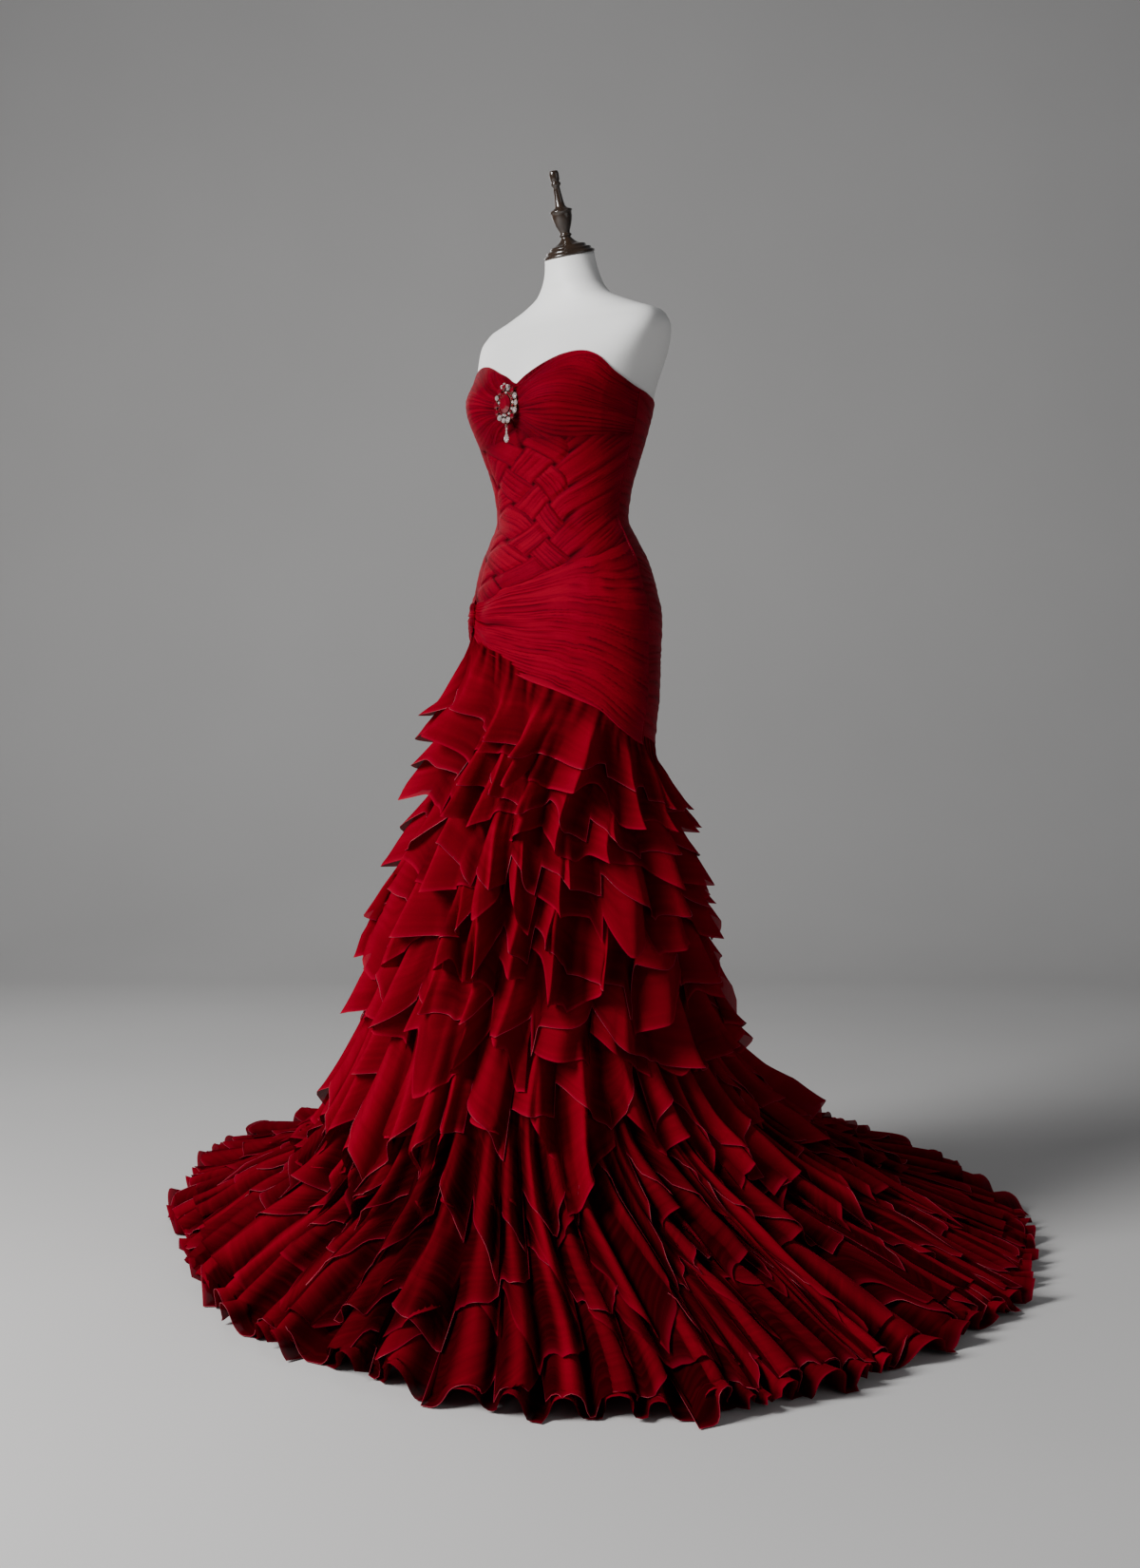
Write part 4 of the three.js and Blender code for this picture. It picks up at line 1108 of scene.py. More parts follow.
class GOWN_OT_back(bpy.types.Operator):
    """Build the two pleated back panels either side of the zip"""
    bl_idname = "gown.back"
    bl_label = "Bodice back"

    def execute(self, context):
        settings = context.scene.gown_pleats
        cloth = pleated_cloth()
        for side, sign, seed in (("left", -1, 51), ("right", 1, 61)):
            across, down = panel_grid(0, 1, 76, 228)
            # The edge at the zip stands off it, and closes below the zip's foot.
            z = mix(neck_edge(np.array(BACK + sign * 45)), 0.86, down)
            opened = 1.05 * smooth(ZIP_FOOT - 0.012, ZIP_FOOT + 0.004, z) + 0.1
            first, last = BACK + sign * opened, BACK + sign * 89.9
            angle = mix(first, last, across)
            top = neck_edge(angle)
            foot = wrap_foot(angle) + SEAM_GAP
            z = mix(top, foot, down)
            away = np.abs(angle - BACK) * BACK_ARC
            phase = (top - z + 0.10 * away + 0.020 * np.sin(away * 14)) / settings.back_pleat \
                + 0.6 * noise(away / 0.07, z / 0.05, seed) \
                + 0.2 * noise(away / 0.03, z / 0.03, seed + 1)
            phase = uneven(phase + 5, seed)
            tone, depth = creases(phase, away / 0.035, seed + 7)
            fine = 0.25 * lapped(phase * 1.9, seed + 3)
            rise = lapped(phase, seed + 2) * mix(0.4, 1.0, depth) + fine
            height = 0.0017 * (1 - 0.5 * fading(away, 0.006))
            height = height * (1 + 0.25 * smooth(1.20, 1.05, z))
            points = hip_point(angle, z, BODICE_OUT - 0.0002 + height * rise)
            # Painted shade in the creases, and a painted highlight along the top edge.
            fold = np.clip(0.12 + 0.85 * tone, 0, 1)
            if sign < 0:
                points, fold = points[:, ::-1], fold[:, ::-1]
            values = {"fold": fold, "edge": 0.5 * fading(down, 0.005)}
            back = panel(f"ruched_back_{side}", points, values)
            dress(back, cloth, stands_for=[f"bodice_back_{side}"])
        return {"FINISHED"}


# ------------------------------------------------------------------ hip drape
# Two plain swellings beside the knot: angle, width in degrees, share of the way down, width of
# that share, how far they stand out and how far they smooth the pleats.
SWELLINGS = [(248, 8, 0.30, 0.13, 0.0055, 1.0), (247, 9, 0.68, 0.12, 0.0050, 0.8)]
TUCK = {"down": 0.47, "wide": 0.020, "deep": 0.0030}      # the tuck between them
KINK = {"angle": 309, "slant": 26, "wide": 3.4}           # a crimped crease that leans


def drape_piece(name, first, last, columns, seed, settings):
    """Half of the hip drape, whose pleats fan out from the knot."""
    angle, down = panel_grid(first, last, columns, 176)
    head = soft_edge(WRAP_HEAD, angle) + 0.001
    foot = wrap_foot(angle) - 0.004
    z = mix(head, foot, down)
    away = np.abs(angle - KNOT["angle"])
    far = smooth(4, 60, away)
    kink = bell(angle - KINK["angle"] + KINK["slant"] * (down - 0.5), KINK["wide"])
    share = down + 0.012 * far * np.sin(down * 5.2 + angle / 30) - 0.010 * kink \
        - 0.13 * smooth(285, 350, angle) * np.sin(math.pi * down)
    phase = share * settings.drape_pleats + 0.8 * noise(angle / 48, down * 5.0, seed) \
        + 0.22 * noise(angle / 18, down * 13, seed + 1)
    phase = uneven(phase + 9, seed, 0.7)
    tone, depth = creases(phase, angle / 11, seed + 7, 0.05)
    near = bell(away, 16)
    depth = mix(depth, 1.1, near)
    rise = lapped(phase, seed + 2, 0.80) * mix(0.3, 1.0, depth)
    fine = lapped(phase * 2.3 + 0.2, seed + 3) * smooth(14, 45, away)
    crimp = kink * 0.35 * (0.5 + 0.5 * np.sin(angle * 5.5 + down * 60))
    swell, plain = 0.0045 * np.sin(math.pi * down) * smooth(0, 25, away), 0.0
    for at, wide, below, tall, out, smoothing in SWELLINGS:
        swelling = bell(angle - at, wide) * bell(down - below, tall)
        swell, plain = swell + out * swelling, plain + smoothing * swelling
    smoother = 1 - 0.8 * np.clip(plain, 0, 1)
    tuck_at = TUCK["down"] + 0.02 * noise(angle / 15, 0, seed + 6)
    tuck = bell(down - tuck_at, TUCK["wide"]) * (1 - smooth(14, 50, away))
    height = settings.drape_height * mix(1.0, 0.55, far) * smooth(0.0, 0.04, 1 - down)
    drawn = 0.0050 * bell(away, 6)
    lift = DRAPE_OUT - 0.0012 + swell + drawn - TUCK["deep"] * tuck \
        + height * smoother * (rise + 0.30 * fine + crimp)
    lift = np.maximum(lift + 0.0030 * fading(1 - down, 0.016), 0.0030)
    points = hip_point(angle, z, lift)
    # Painted shade in the creases, the crimped crease and the tuck, lighter over the plain
    # swellings, and a painted highlight along the foot.
    deep = mix(tone, 0.9, (1 - smoother) * 0.8)
    fold = np.clip((0.08 + 0.88 * deep + 0.10 * fine - 0.12 * crimp) * (1 - 0.85 * tuck), 0, 1)
    highlit = 0.6 * fading(1 - down, 0.010)
    return panel(name, points, {"fold": fold, "edge": highlit}, depth=0.0022)


# The knot's profile: radius and height in millimetres from its middle.
KNOT_PROFILE = [[0.0, -23], [5.0, -22], [7.4, -19.5], [9.4, -13], [8.0, -7], [7.2, -3], [7.1, 3],
                [7.8, 7], [9.2, 13], [7.2, 19], [4.4, 22], [0.0, 23]]


def knot_piece(name):
    """A short loop of cloth wound round the drape's pinch, pleated along its length."""
    profile = np.array(KNOT_PROFILE) * MM
    turn, along = np.meshgrid(np.linspace(0, 2 * math.pi, 96, endpoint=False),
                              np.linspace(1, 0, 72))
    at = along * (len(profile) - 1)
    radius, height = [through(range(len(profile)), profile[:, k], at) for k in (0, 1)]
    ends = np.abs(height) / 0.027
    flutes = 0.09 * ends * np.cos(9 * turn + 40 * height) + 0.05 * np.cos(17 * turn - 90 * height)
    belt = np.exp(-((height - 0.002 * np.sin(turn)) / 0.0062) ** 4)
    ridges = 0.0009 * np.cos(height / 0.0022 * math.pi) * belt
    radius = radius * (1 + flutes * (1 - belt)) + 0.0030 * belt + ridges
    centre = torso_point(KNOT["angle"], KNOT["z"], KNOT["seat"])
    away = np.radians(KNOT["angle"])
    out, aside = 0.66 * radius * np.cos(turn), radius * np.sin(turn)
    x, y = out * np.cos(away) - aside * np.sin(away), out * np.sin(away) + aside * np.cos(away)
    points = np.stack([x, y, 0.9 * height], -1) + centre
    # Painted light and shade: lighter on the flutes' crests and over the belt, darker between the
    # flutes.
    fold = np.clip(0.45 + 3 * flutes + 0.4 * belt, 0, 1)
    return single(name, points, {"fold": fold, "edge": 0 * fold}, True)


class GOWN_OT_drape(bpy.types.Operator):
    """Build the hip drape's two halves and the knot that pinches them"""
    bl_idname = "gown.drape"
    bl_label = "Hip drape"

    def execute(self, context):
        settings = context.scene.gown_pleats
        cloth = pleated_cloth()
        knot_at, clear = KNOT["angle"], KNOT["clear"] - 1.2
        left = drape_piece("fanned_drape_left", knot_at + clear, TURN - 0.1, 200, 71, settings)
        right = drape_piece("fanned_drape_right", RIGHT + 0.1, knot_at - clear, 90, 81, settings)
        knot = knot_piece("wound_knot")
        dress(left, cloth, stands_for=["hip_drape_left"])
        dress(right, cloth, stands_for=["hip_drape_right"])
        dress(knot, cloth, stands_for=["hip_knot"])
        return {"FINISHED"}


# ------------------------------------------------------------------ zip
TAPE = 2.2                                # half the tape's width, in degrees round the body
TOOTH = (0.0007, 0.0019, 0.0010)
TOOTH_STEP, TOOTH_SIDE = 0.0014, 0.0006   # from one tooth to the next, and out from the middle


class GOWN_OT_zip(bpy.types.Operator):
    """Build the zip's tape and teeth, and finish the slider and its pull"""
    bl_idname = "gown.zip"
    bl_label = "Zip"

    def execute(self, context):
        tone = context.scene.gown_colours
        coil = hard_material("crimson_coil", rgba(tone.rim, 0.7), rgba(tone.rim, 0.4),
                             (0.3, 0.5), 200.0)
        silver = hard_material("worn_silver", (0.86, 0.83, 0.79, 1), (0.62, 0.59, 0.56, 1),
                               (0.12, 0.34), 160.0, metallic=1.0)
        low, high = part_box("zip_teeth")
        z = np.linspace(high[2] - 0.0005, low[2] + 0.0005, 90)
        y = torso_point(BACK, z, BODICE_OUT - 0.0006)[:, 1]
        top = float(neck_edge(np.array(BACK)))
        angle, laid = np.meshgrid(BACK + np.linspace(-TAPE, TAPE, 7),
                                  np.linspace(top - 0.0012, ZIP_FOOT - 0.022, 96))
        tape = panel("zip_tape", torso_point(angle, laid, BODICE_OUT - 0.0020), {}, depth=0.0006)
        bm = bmesh.new()
        bmesh.ops.create_cube(bm, size=1.0)
        bmesh.ops.scale(bm, vec=TOOTH, verts=bm.verts)
        tooth = object_from("tooth", bm)
        sides = [[(x, yy + 0.0001, zz - shift) for yy, zz in zip(y[:-2], z[:-2])]
                 for x, shift in ((-TOOTH_SIDE, 0.0), (TOOTH_SIDE, TOOTH_STEP / 2))]
        teeth = row_of("zip_coil_teeth", sides, TOOTH_STEP, tooth, coil, 5, (1.0, 1.0))
        bpy.data.objects.remove(tooth)
        whole = joined("zip_tape_and_teeth", [tape, teeth])
        dress(whole, coil, stands_for=["zip_teeth"])
        for name in ("zip_slider", "zip_pull"):
            paint(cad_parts[name], silver)
        return {"FINISHED"}


# ------------------------------------------------------------------ brooch
# A cut stone's profile, as shares of its radius: flat table, crown and a shallow pavilion.
STONE = [(0.0, -0.5), (0.35, -0.45), (1.0, 0.0), (1.0, 0.1), (0.6, 0.45), (0.0, 0.45)]
# The drop's: radius and height in millimetres.
PEAR = [(0, -30), (2.8, -28.6), (4.6, -25), (4.2, -21), (2.4, -17), (0.9, -13.2), (0, -12)]


LINK = 0.0022                             # radius of the rings that the drop hangs by


def faceted(obj):
    obj.data.polygons.foreach_set("use_smooth", [False] * len(obj.data.polygons))
    return obj


def stone_object(name, radius, sides):
    """A cut stone that faces -Y."""
    profile = [(r * radius, h * radius) for r, h in STONE]
    return faceted(lathe(name, profile, sides, Matrix.Rotation(math.pi / 2, 4, "X")))


def ellipse(half, tall, y, z, count, start=0.0):
    """Points round an upright ellipse, which starts at an angle from +X."""
    turn = np.linspace(0, 2 * math.pi, count, endpoint=False) + start
    return [(half * math.cos(t), y, z + tall * math.sin(t)) for t in turn]


class GOWN_OT_brooch(bpy.types.Operator):
    """Build the brooch: setting, clear stones, red stone and the hanging drop"""
    bl_idname = "gown.brooch"
    bl_label = "Brooch"

    def execute(self, context):
        silver = bpy.data.materials["worn_silver"]
        clear = hard_material("clear_crystal", (0.93, 0.86, 0.84, 1), (0.84, 0.66, 0.64, 1),
                              (0.02, 0.06), 90.0, coat=1.0, bump=0.0, transmission=0.72, ior=1.7)
        # The whole setting is one dark metal, in two close tones.
        dark_metal = hard_material("dark_setting", (0.16, 0.085, 0.06, 1), (0.07, 0.03, 0.02, 1),
                             (0.22, 0.45), 220.0, metallic=1.0)
        red = hard_material("red_stone", (0.30, 0.0, 0.014, 1), (0.10, 0.0, 0.004, 1),
                            (0.02, 0.08), 70.0, coat=0.6, bump=0.0, transmission=0.2, ior=1.6)
        low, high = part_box("brooch_setting")
        back, z = high[1], BROOCH_Z
        face = back - 0.003
        plate = stone_object("plate", 0.001, 48)
        plate.data.transform(Matrix.Translation((0, back - 0.0016, z))
                             @ Matrix.Diagonal((21.5, 3.2, 26.5, 1)))
        link_z = low[2] + 0.0027
        rings = [cord(part, [path], radius, sides, silver, True) for part, path, radius, sides in (
            ("rim_outer", ellipse(0.0220, 0.0270, face, z, 72), 0.0008, 8),
            ("rim_inner", ellipse(0.0122, 0.0152, face - 0.0012, z, 60), 0.0007, 8),
            ("link", ellipse(LINK, LINK, face, link_z, 24), 0.0005, 6))]
        bail = [(0, face, link_z + LINK), (0, face, z - 0.026)]
        rings.append(cord("bail", [bail], 0.0012, 8, silver))
        claw = stone_object("claw", 0.0009, 6)
        claws = placed("claws", claw, ellipse(0.0176, 0.0212, face - 0.0016, z, 28, 0.11)
                       + ellipse(0.0258, 0.0304, face, z, 28, 0.11))
        setting = joined("brooch_frame", [plate, *rings, claws])
        dress(setting, dark_metal, stands_for=["brooch_setting"])

        large = stone_object("large_stone", 0.0049, 10)
        small = stone_object("small_stone", 0.0022, 8)
        around = ellipse(0.0216, 0.0258, face - 0.0017, z, 14)
        within = ellipse(0.0150, 0.0179, face - 0.0022, z, 22, 0.08)
        sizes = [1.0 if k % 2 else 0.84 for k in range(14)]
        # Which stones of either ring are clear. The others are red.
        pale = (0, 1, 3, 6, 9, 10, 11, 13)
        inner_pale = (0, 5, 10, 15, 16, 18, 20)
        reds = [k for k in range(14) if k not in pale]
        outer = placed("outer_stones", large, [around[k] for k in pale], [sizes[k] for k in pale])
        halo = placed("halo_stones", small, [within[k] for k in inner_pale])
        garnets = joined("brooch_red_cluster", [
            placed("outer_reds", large, [around[k] for k in reds],
                   [1.04 * sizes[k] for k in reds]),
            placed("halo_reds", small, [p for k, p in enumerate(within) if k not in inner_pale]),
            placed("crest_red", small, [(0.0, face - 0.0056, z + 0.0262)], [1.9])])
        dress(garnets, red)
        crest = placed("crest_stones", small, [
            (-0.0058, face - 0.0044, z + 0.0268), (0.0058, face - 0.0044, z + 0.0268),
            (0.0, face - 0.0045, z + 0.0302)], [1.4, 1.4, 1.2])
        stones = joined("brooch_crystals", [outer, halo, crest])
        dress(stones, clear)

        gem = stone_object("brooch_red_stone", 0.0116, 14)
        gem.data.transform(Matrix.Translation((0, face - 0.0030, z))
                           @ Matrix.Diagonal((1.0, 0.95, 1.28, 1)))
        dress(gem, red, stands_for=["brooch_gem"])

        low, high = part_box("brooch_drop")
        y, top = (low[1] + high[1]) / 2, high[2]
        ring = [(0, y + LINK * math.sin(t), top - 0.0027 + LINK * math.cos(t))
                for t in np.linspace(0, 2 * math.pi, 20, endpoint=False)]
        loop = cord("drop_loop", [ring], 0.0005, 6, silver, True)
        beads = placed("drop_beads", small, [(0, y, top - 0.0074), (0, y, top - 0.0118)],
                       [1.05, 1.05])
        tip = faceted(lathe("drop_pear", [(r * MM, (h + 1.1) * MM) for r, h in PEAR], 10,
                            Matrix.Translation((0, y, top)) @ Matrix.Diagonal((1, 0.75, 1, 1))))
        drop = joined("hanging_drop", [loop, beads, tip])
        dress(drop, clear, body="drop", stands_for=["brooch_drop"])
        for source in (claw, large, small):
            bpy.data.objects.remove(source)
        return {"FINISHED"}


# ------------------------------------------------------------------ skirt
# Flounces: where each is sewn and how far it hangs, as shares from the drape's foot to the floor;
# how far its hem stands off; its folds; its panels or groups of strips and how far they hang;
# how deep its folds swing; how far each fold's own hem slants; its columns, the rows of its top
# ply and of the ply under it; how round its folds are; how far they follow the hem's length.
TIER_COLUMNS = ("seam", "hem", "stand", "folds", "panels", "point", "swing", "slant", "size",
                "round", "low")
TIERS = [dict(zip(TIER_COLUMNS, row)) for row in [
    (-0.020, 0.115, 0.035, 15, 6, 0.060, 1.00, 0.030, (480, 22, 14), 0.00, 0.0),
    (0.066, 0.215, 0.031, 15, 7, 0.070, 0.92, 0.055, (480, 19, 14), 0.00, 0.0),
    (0.162, 0.322, 0.029, 16, 8, 0.100, 0.92, 0.080, (500, 20, 14), 0.00, 0.0),
    (0.268, 0.436, 0.029, 19, 9, 0.130, 0.92, 0.090, (520, 22, 14), 0.00, 0.0),
    (0.382, 0.558, 0.029, 24, 12, 0.150, 0.92, 0.085, (560, 23, 15), 0.05, 0.1),
    (0.502, 0.688, 0.027, 42, 16, 0.210, 0.80, 0.0, (700, 26, 18), 0.25, 0.3),
    (0.630, 0.805, 0.024, 76, 24, 0.200, 0.64, 0.0, (1080, 24, 15), 0.45, 1.0),
    (0.762, 0.905, 0.021, 76, 28, 0.140, 0.66, 0.0, (1080, 23, 15), 0.50, 1.0),
    (0.850, 1.020, 0.019, 76, 32, 0.062, 0.78, 0.0, (1140, 26, 17), 0.60, 1.0),
]]
POINTED = 5                  # so many flounces end in points; the ones below them in strips
PLIES = ("over", "under")
OVER_SEAM = 0.0019           # a flounce's seam stands this far over the underskirt's middle
TRAIN_SEED = 99              # the last three share this seed, so that their folds run on
UNDER_LONG = 0.046           # a ply under another hangs this share of the skirt lower
TRAIN_SHORT = 0.023          # and the train's top ply ends this much higher
PLY_GAP = 0.0013             # plies lie this far apart
NEAREST = 0.0012             # and no nearer than this to the underskirt's middle and the floor
HIP_FLARE = {"by": (0.95, 0.50), "angle": 226, "wide": 30}    # the top two stand out by the knot
HEM_CORD = 0.0006            # radius of a rolled hem


def evened(count, random, spread):
    """Turns of a fold or panel at a share round the skirt: each has its own width."""
    widths = random.uniform(1 - spread, 1 + spread, count)
    marks = np.concatenate([[0.0], np.cumsum(widths) / widths.sum()])
    return lambda w: through(marks, np.arange(count + 1.0), w)


def own_value(values, phase):
    """Each fold's own value, eased from one fold to the next."""
    count = len(values)
    index = np.floor(phase).astype(int)
    share = smooth(0, 1, phase - index)
    return mix(values[np.mod(index, count)], values[np.mod(index + 1, count)], share)


def angle_of(w, low):
    """The angle at a share round the skirt. A low flounce's shares follow the hem's length."""
    turn = np.linspace(0, TURN, 721)
    reach = edge(HEM, turn)
    x, y = reach * np.cos(np.radians(turn)), reach * np.sin(np.radians(turn))
    length = np.concatenate([[0.0], np.cumsum(np.hypot(np.diff(x), np.diff(y)))])
    return mix(w * TURN, np.interp(w, length / length[-1], turn), low)


class Bed:
    """How far out the cloth laid so far stands, over the angle and the share of the way down."""
    angles, shares, first, span = 900, 380, -0.04, 1.1

    def __init__(self):
        self.height = np.zeros((self.angles, self.shares))
        self.soft = self.height

    def place(self, angle, share):
        """Where that is on the bed, in cells across and down."""
        u = whole_turn(angle) / TURN * self.angles
        v = np.clip((share - self.first) / self.span, 0, 0.9999) * (self.shares - 1)
        return u, v

    def at(self, angle, share):
        """How far out the bed stands there, eased over a cell or two."""
        u, v = self.place(angle, share)
        iu, iv = np.floor(u).astype(int), np.floor(v).astype(int)
        fu, fv = u - iu, v - iv
        ju, iu = np.mod(iu + 1, self.angles), np.mod(iu, self.angles)
        jv = np.minimum(iv + 1, self.shares - 1)
        near = mix(self.soft[iu, iv], self.soft[ju, iv], fu)
        return mix(near, mix(self.soft[iu, jv], self.soft[ju, jv], fu), fv)

    def lay(self, angle, share, off):
        """Adds a ply, read at four places across and three down each of its faces."""
        def between(field, a, b):
            ahead = np.roll(field, -1, axis=1)
            if field is angle:
                ahead = ahead + TURN * np.round((field - ahead) / TURN)
            row = mix(field, ahead, a)
            return mix(row[:-1], row[1:], b)

        for a in (0.0, 0.25, 0.5, 0.75):
            for b in (0.0, 0.34, 0.67):
                u, v = self.place(between(angle, a, b), between(share, a, b))
                cells = np.mod(u.astype(int), self.angles), v.astype(int)
                np.maximum.at(self.height, cells, between(off, a, b))
        wide = np.maximum(np.roll(self.height, 1, 0), np.roll(self.height, -1, 0))
        wide = np.maximum(wide, self.height)
        tall = np.maximum(wide, np.maximum(np.roll(wide, 1, 1), np.roll(wide, -1, 1)))
        for _ in range(2):
            tall = (np.roll(tall, 1, 0) + 2 * tall + np.roll(tall, -1, 0)) / 4
            tall[:, 1:-1] = (tall[:, :-2] + 2 * tall[:, 1:-1] + tall[:, 2:]) / 4
        self.soft = tall


def pointed_hem(w, random, panels, drop):
    """How far the hem hangs below its mean: slanted panels with points of uneven lengths."""
    at = evened(panels, random, 0.45)(np.mod(w + random.uniform(), 1.0))
    which = np.minimum(np.floor(at).astype(int), panels - 1)
    share = at - which
    kind = random.uniform(0, 1, panels)[which]
    long = random.uniform(0.25, 1.0, panels)[which] ** 1.2
    slant = np.where(kind > 0.5, 1 - share, share)
    leaning = slant ** 1.15 * (1 - smooth(0.86, 1.0, slant))
    level = 1 - np.abs(2 * share - 1) ** 1.3
    shape = np.where(np.abs(kind - 0.5) < 0.17, 0.8 * level, leaning)
    return drop * (long * shape - 0.28)


def slants(phase, random, count, least=0.0):
    """A slant across each fold, from a crease to the next, to one side or the other."""
    lean = random.uniform(least, 1.0, count) * random.choice((-1.0, 1.0), count)
    index = np.floor(phase + 0.5)
    return lean[np.mod(index.astype(int), count)] * (phase - index)


def strip_hem(phase, random, count, groups, drop, slant):
    """The hem of narrow strips, one to a fold: each is slanted, and they step down in groups."""
    starts = np.sort(random.choice(count, groups, replace=False))
    ends = np.append(starts[1:], starts[0] + count)
    steps = np.zeros(count)
    for first, after in zip(starts, ends):
        run = (np.arange(after - first) + 0.5) / (after - first)
        run = run[::-1] if random.uniform() < 0.5 else run
        steps[np.mod(np.arange(first, after), count)] = run * random.uniform(0.45, 1.0)
    own = steps[np.mod(np.floor(phase + 0.5).astype(int), count)]
    return drop * (own + slant * slants(phase, random, count) - 0.28)


def flounce_grid(index, layer, settings, bed):
    """Points and masks of one ply of a flounce, laid over what lies beneath it."""
    tier = TIERS[index]
    last, train = index == len(TIERS) - 1, tier["low"] == 1.0
    own = np.random.default_rng(settings.seed + index * 17 + layer * 7)
    shared = np.random.default_rng(settings.seed + (TRAIN_SEED if train else index))
    columns, rows = tier["size"][0], tier["size"][1 if layer == 0 else 2]
    t = np.linspace(0, 1, rows)
    w, r = np.meshgrid(np.linspace(0, 1, columns, endpoint=False), 1 - (1 - t) ** 1.35)
    angle = angle_of(w, tier["low"])

    # The folds: each has its own width, strength and curl, and in the train its own painted
    # brightness, some folds painted dark as if in shade; and each drifts on its way down.
    count = tier["folds"]
    phase = evened(count, shared, 0.80 if train else 0.50)(w)
    width = np.gradient(angle, axis=1) / np.maximum(np.gradient(phase, axis=1), 1e-9)
    strength = own_value(shared.uniform(0.5, 1.2, count), phase)
    strength = strength * np.clip(width * count / TURN, 0.5, 1.6) ** 0.6
    curl = own_value(shared.uniform(0.2, 1.0, count) ** 1.6, phase)
    # Painted light and shade for each fold of the train: some dark as if in shade, the rest lit.
    lit = shared.uniform(0, 1, count)
    lit = own_value(np.where(lit < 0.45, 0.16 + 0.6 * lit, 0.78 + 0.22 * lit), phase + 0.5)
    drift = (0.10 + 0.20 * layer) * noise(w * 24, r * 1.2, settings.seed + index * 3 + layer, 24)
    turn = 2 * math.pi * (phase + drift * smooth(0.1, 1.0, r))
    round_fold = 1 - 2 * ((1 - np.cos(turn)) / 2) ** 1.5
    sharp_fold = ((1 + np.cos(turn)) / 2) ** 1.6 - np.abs(np.sin(turn / 2))
    wave = mix(sharp_fold, round_fold, tier["round"])

    # The hem: points or strips, and how far down each row lies.
    depth = tier["hem"] - tier["seam"]
    reach = settings.point * tier["point"]
    if index < POINTED:
        drop = pointed_hem(w, own, tier["panels"] + layer, reach) + 0.014 * strength * wave
        drop = drop + settings.point * tier["slant"] * slants(phase, own, count, 0.4)
    else:
        reach = reach * (0.4 if last and layer else 1.0)
        drop = strip_hem(phase, own, count, tier["panels"], reach, 1.1 if last else 0.75)
        drop = drop + 0.006 * strength * wave
    drop = drop + (TRAIN_SHORT * (layer - 1) if last else UNDER_LONG * layer)
    down = tier["seam"] + (depth + drop) * r
    down = np.minimum(down, 1.052 - 0.012 * layer if last else 0.965 + 0.015 * layer)
    start = max(tier["seam"], 0.006)
    hang = np.clip((down - start) / depth, 0, None)

    # Sideways: the folds curl, and lean or sweep together.
    bend = settings.meander * (0.35 + 0.85 * curl) * smooth(0.05, 0.9, r)
    side = own_value(shared.choice((-1.0, 1.0), count), phase)
    angle = angle + width * bend * mix(0.8 * side * np.sin(turn), np.sin(2 * turn), tier["round"])
    if train:
        sweep = noise(w * 9, down * 4, settings.seed + 50, 9)
        angle = angle + 7.0 * smooth(0.68, 0.97, down) * sweep
    else:
        lean = 0.50 * noise(w * 7, 0, settings.seed + 30 + index, 7)
        lean = lean + 0.25 * noise(w * 19, r, settings.seed + 40, 19)
        angle = angle + np.minimum(width, 18) * lean * r
    base, normal = on_skirt(angle, down)

    # Outwards: the folds grow towards the hem, clear of everything that is laid already.
    flare = 1.0 + 0.22 * noise(w * 9, index, settings.seed + 60, 9)
    if index < len(HIP_FLARE["by"]):
        away = whole_turn(angle) - HIP_FLARE["angle"]
        flare = flare + HIP_FLARE["by"][index] * bell(away, HIP_FLARE["wide"])
    swing = settings.swing * tier["swing"] * (1 - 0.12 * layer)
    grow = smooth(-0.1, 0.5, hang) if last else np.minimum(hang, 1.35) ** 0.9
    off = OVER_SEAM + grow * (tier["stand"] * flare * (1 - 0.16 * layer) + swing * strength * wave)
    small = np.cos(turn * 3 + 1.3) + 0.6 * np.cos(turn * 5)
    off = off + 0.0022 * small * (1 - smooth(0.2, 0.8, r)) * smooth(0.006, 0.03, down - start)
    off = off + (0 if last else 0.004) * r ** 5
    off = np.maximum(off, bed.at(angle, down) + PLY_GAP * smooth(0.0, 0.12, r))
    off = np.maximum(off, NEAREST)
    bed.lay(angle, down, off)
    points = base + normal * off[..., None]
    points[..., 2] = np.maximum(points[..., 2], NEAREST)

    # The masks: painted shade in the folds and up at the seam under the flounce above, a painted
    # highlight at the hem, sheer towards it.
    tone = lit if train else own_value(own.uniform(0.7, 1.0, count), phase)
    crest = np.clip(0.5 + 0.5 * wave, 0, 1) ** (2.4 if train else 0.7) * tone
    least = 0.03 if train else 0.24
    fold = mix(0.22 + 0.2 * small, mix(least, 1.0, crest), smooth(0.12, 0.55, r))
    fold = np.clip(fold * (1 if index == 0 else smooth(-0.15, 0.4, r)), 0, 1)
    rim = fading((1 - r) * (depth + drop), 0.0035)
    sheer = smooth(0.5, 1.0, r) * (0.3 if last else 1.0)
    return points, {"fold": fold, "edge": (0.4 if train else 0.7) * rim, "sheer": sheer}


def level_length(row):
    """Length round a closed row of points when they are pulled level."""
    ring = np.concatenate([row, row[:1]])
    return float(np.linalg.norm(np.diff(ring[:, :2], axis=0), axis=1).sum())


def cloth_area(obj):
    return sum(p.area for p in obj.data.polygons)


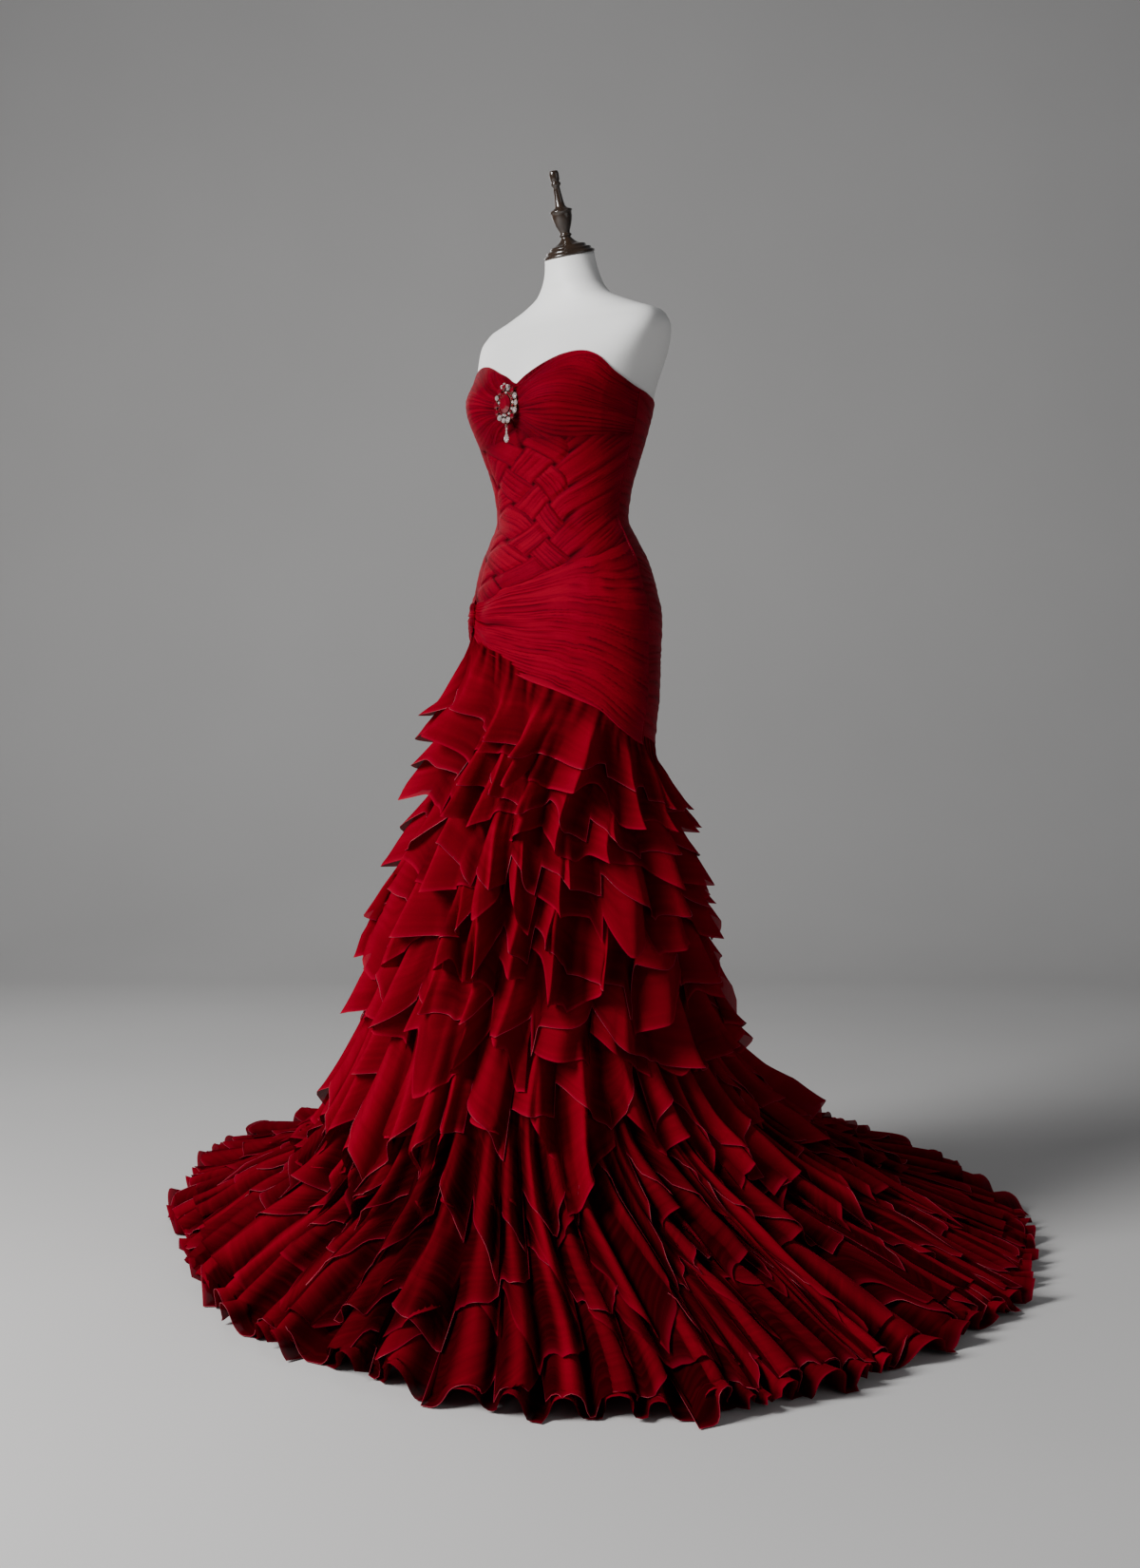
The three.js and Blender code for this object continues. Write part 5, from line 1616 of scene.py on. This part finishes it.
class GOWN_OT_underskirt(bpy.types.Operator):
    """Build the underskirt that carries the flounces"""
    bl_idname = "gown.underskirt"
    bl_label = "Underskirt"

    def execute(self, context):
        angle, down = np.meshgrid(np.linspace(0, TURN, 144, endpoint=False),
                                  np.linspace(-0.03, 0.965, 38))
        points, normal = on_skirt(angle, down)
        points = points - normal * (0.0025 * smooth(0.02, -0.03, down))[..., None]
        points[..., 2] = np.maximum(points[..., 2], 0.0006)
        values = {"fold": 0.4 + 0 * angle, "edge": 0 * angle, "sheer": 0 * angle}
        skirt = single("lining_skirt", points, values, True)
        dress(skirt, lining_cloth(), stands_for=[
            "underskirt_front_right", "underskirt_front_left", "underskirt_back_left",
            "underskirt_back_right"])
        return {"FINISHED"}


class GOWN_OT_flounces(bpy.types.Operator):
    """Build the nine flounces, each of two plies, from the train up"""
    bl_idname = "gown.flounces"
    bl_label = "Flounces"

    def execute(self, context):
        settings = context.scene.gown_flounces
        cloth = chiffon_cloth()
        bed = Bed()
        for index in reversed(range(len(TIERS))):
            for layer in (1, 0):
                solid = f"flounce_{index + 1:02d}"
                name = f"{solid}_{PLIES[layer]}"
                points, values = flounce_grid(index, layer, settings, bed)
                ply = single(name, points, values, True)
                dress(ply, cloth, stands_for=[solid] if layer == 0 else [])
                hems = []
                if layer == 0:
                    hems = [cord(name + "_hem", [points[-1]], HEM_CORD, 3, hem_cord(), True)]
                    dress(hems[0], hem_cord())
                # Laid flat it is as wide as two thirds of the way down, and at most so long
                # that its area is a third of that rectangle.
                width = level_length(points[len(points) * 2 // 3])
                length = float(np.linalg.norm(np.diff(points, axis=0), axis=-1).sum(0).max())
                area = min(cloth_area(ply), width * length)
                length = min(length, area / (0.34 * width))
        return {"FINISHED"}


# ------------------------------------------------------------------ seams
class GOWN_OT_seams(bpy.types.Operator):
    """Lay the welts on the side seams and the stitches beside the edges"""
    bl_idname = "gown.seams"
    bl_label = "Seams and stitches"

    def execute(self, context):
        welts, stitches = [], []
        for angle in (LEFT + 0.01, RIGHT):
            top = neck_edge(np.array(angle)) - 0.001
            foot = wrap_foot(np.array(angle)) + 0.002
            z = np.linspace(float(top), float(foot), 160)
            sway = 0.35 * noise(z / 0.05, 0, 91)
            welts.append(hip_point(angle + sway, z, BODICE_OUT + 0.0022))
            stitches.append(hip_point(angle + sway - 1.6, z, BODICE_OUT + 0.0026))
        seam = cord("side_seam_welts", welts, 0.0014, 8, pleated_cloth())
        # The welt's painted shade at a middle level and a faint painted highlight.
        for key, value in (("fold", 0.55), ("edge", 0.15)):
            put_values(seam.data, key, np.full(len(seam.data.vertices), value))
        dress(seam, pleated_cloth())
        thread = [(0, -0.0013), (0.0003, -0.0011), (0.0003, 0.0011), (0, 0.0013)]
        stitch = lathe("stitch_source", thread, 5, Matrix.Rotation(math.pi / 2, 4, "Y"))
        rows = row_of("side_seam_stitches", stitches, 0.0042, stitch, hem_cord(), 9)
        bpy.data.objects.remove(stitch)
        dress(rows, hem_cord())
        return {"FINISHED"}


# ------------------------------------------------------------------ panel and registration
# The steps in the order in which they are taken.
OPERATORS = [GOWN_OT_stage, GOWN_OT_form, GOWN_OT_cups, GOWN_OT_midriff, GOWN_OT_back,
             GOWN_OT_drape, GOWN_OT_zip, GOWN_OT_brooch, GOWN_OT_underskirt, GOWN_OT_flounces,
             GOWN_OT_seams]
SETTINGS = {"gown_colours": GownColours, "gown_pleats": PleatSettings,
            "gown_flounces": FlounceSettings, "gown_stage": StageSettings}


class GOWN_PT_panel(bpy.types.Panel):
    """Lists the gown's settings and the steps that build it"""
    bl_idname = "GOWN_PT_panel"
    bl_label = "Mermaid Gown"
    bl_space_type = "VIEW_3D"
    bl_region_type = "UI"
    bl_category = "Gown"

    def draw(self, context):
        for name, kind in SETTINGS.items():
            box = self.layout.box()
            for label in kind.__annotations__:
                box.prop(getattr(context.scene, name), label)
        for operator in OPERATORS:
            self.layout.operator(operator.bl_idname)


def register():
    for kind in [*SETTINGS.values(), *OPERATORS, GOWN_PT_panel]:
        bpy.utils.register_class(kind)
    for name, kind in SETTINGS.items():
        setattr(bpy.types.Scene, name, PointerProperty(type=kind))


def unregister():
    for name in SETTINGS:
        delattr(bpy.types.Scene, name)
    for kind in reversed([*SETTINGS.values(), *OPERATORS, GOWN_PT_panel]):
        bpy.utils.unregister_class(kind)


def main():
    register()
    for kind in OPERATORS:
        getattr(bpy.ops.gown, kind.bl_idname.split(".")[1])()


if __name__ == "__main__":
    main()
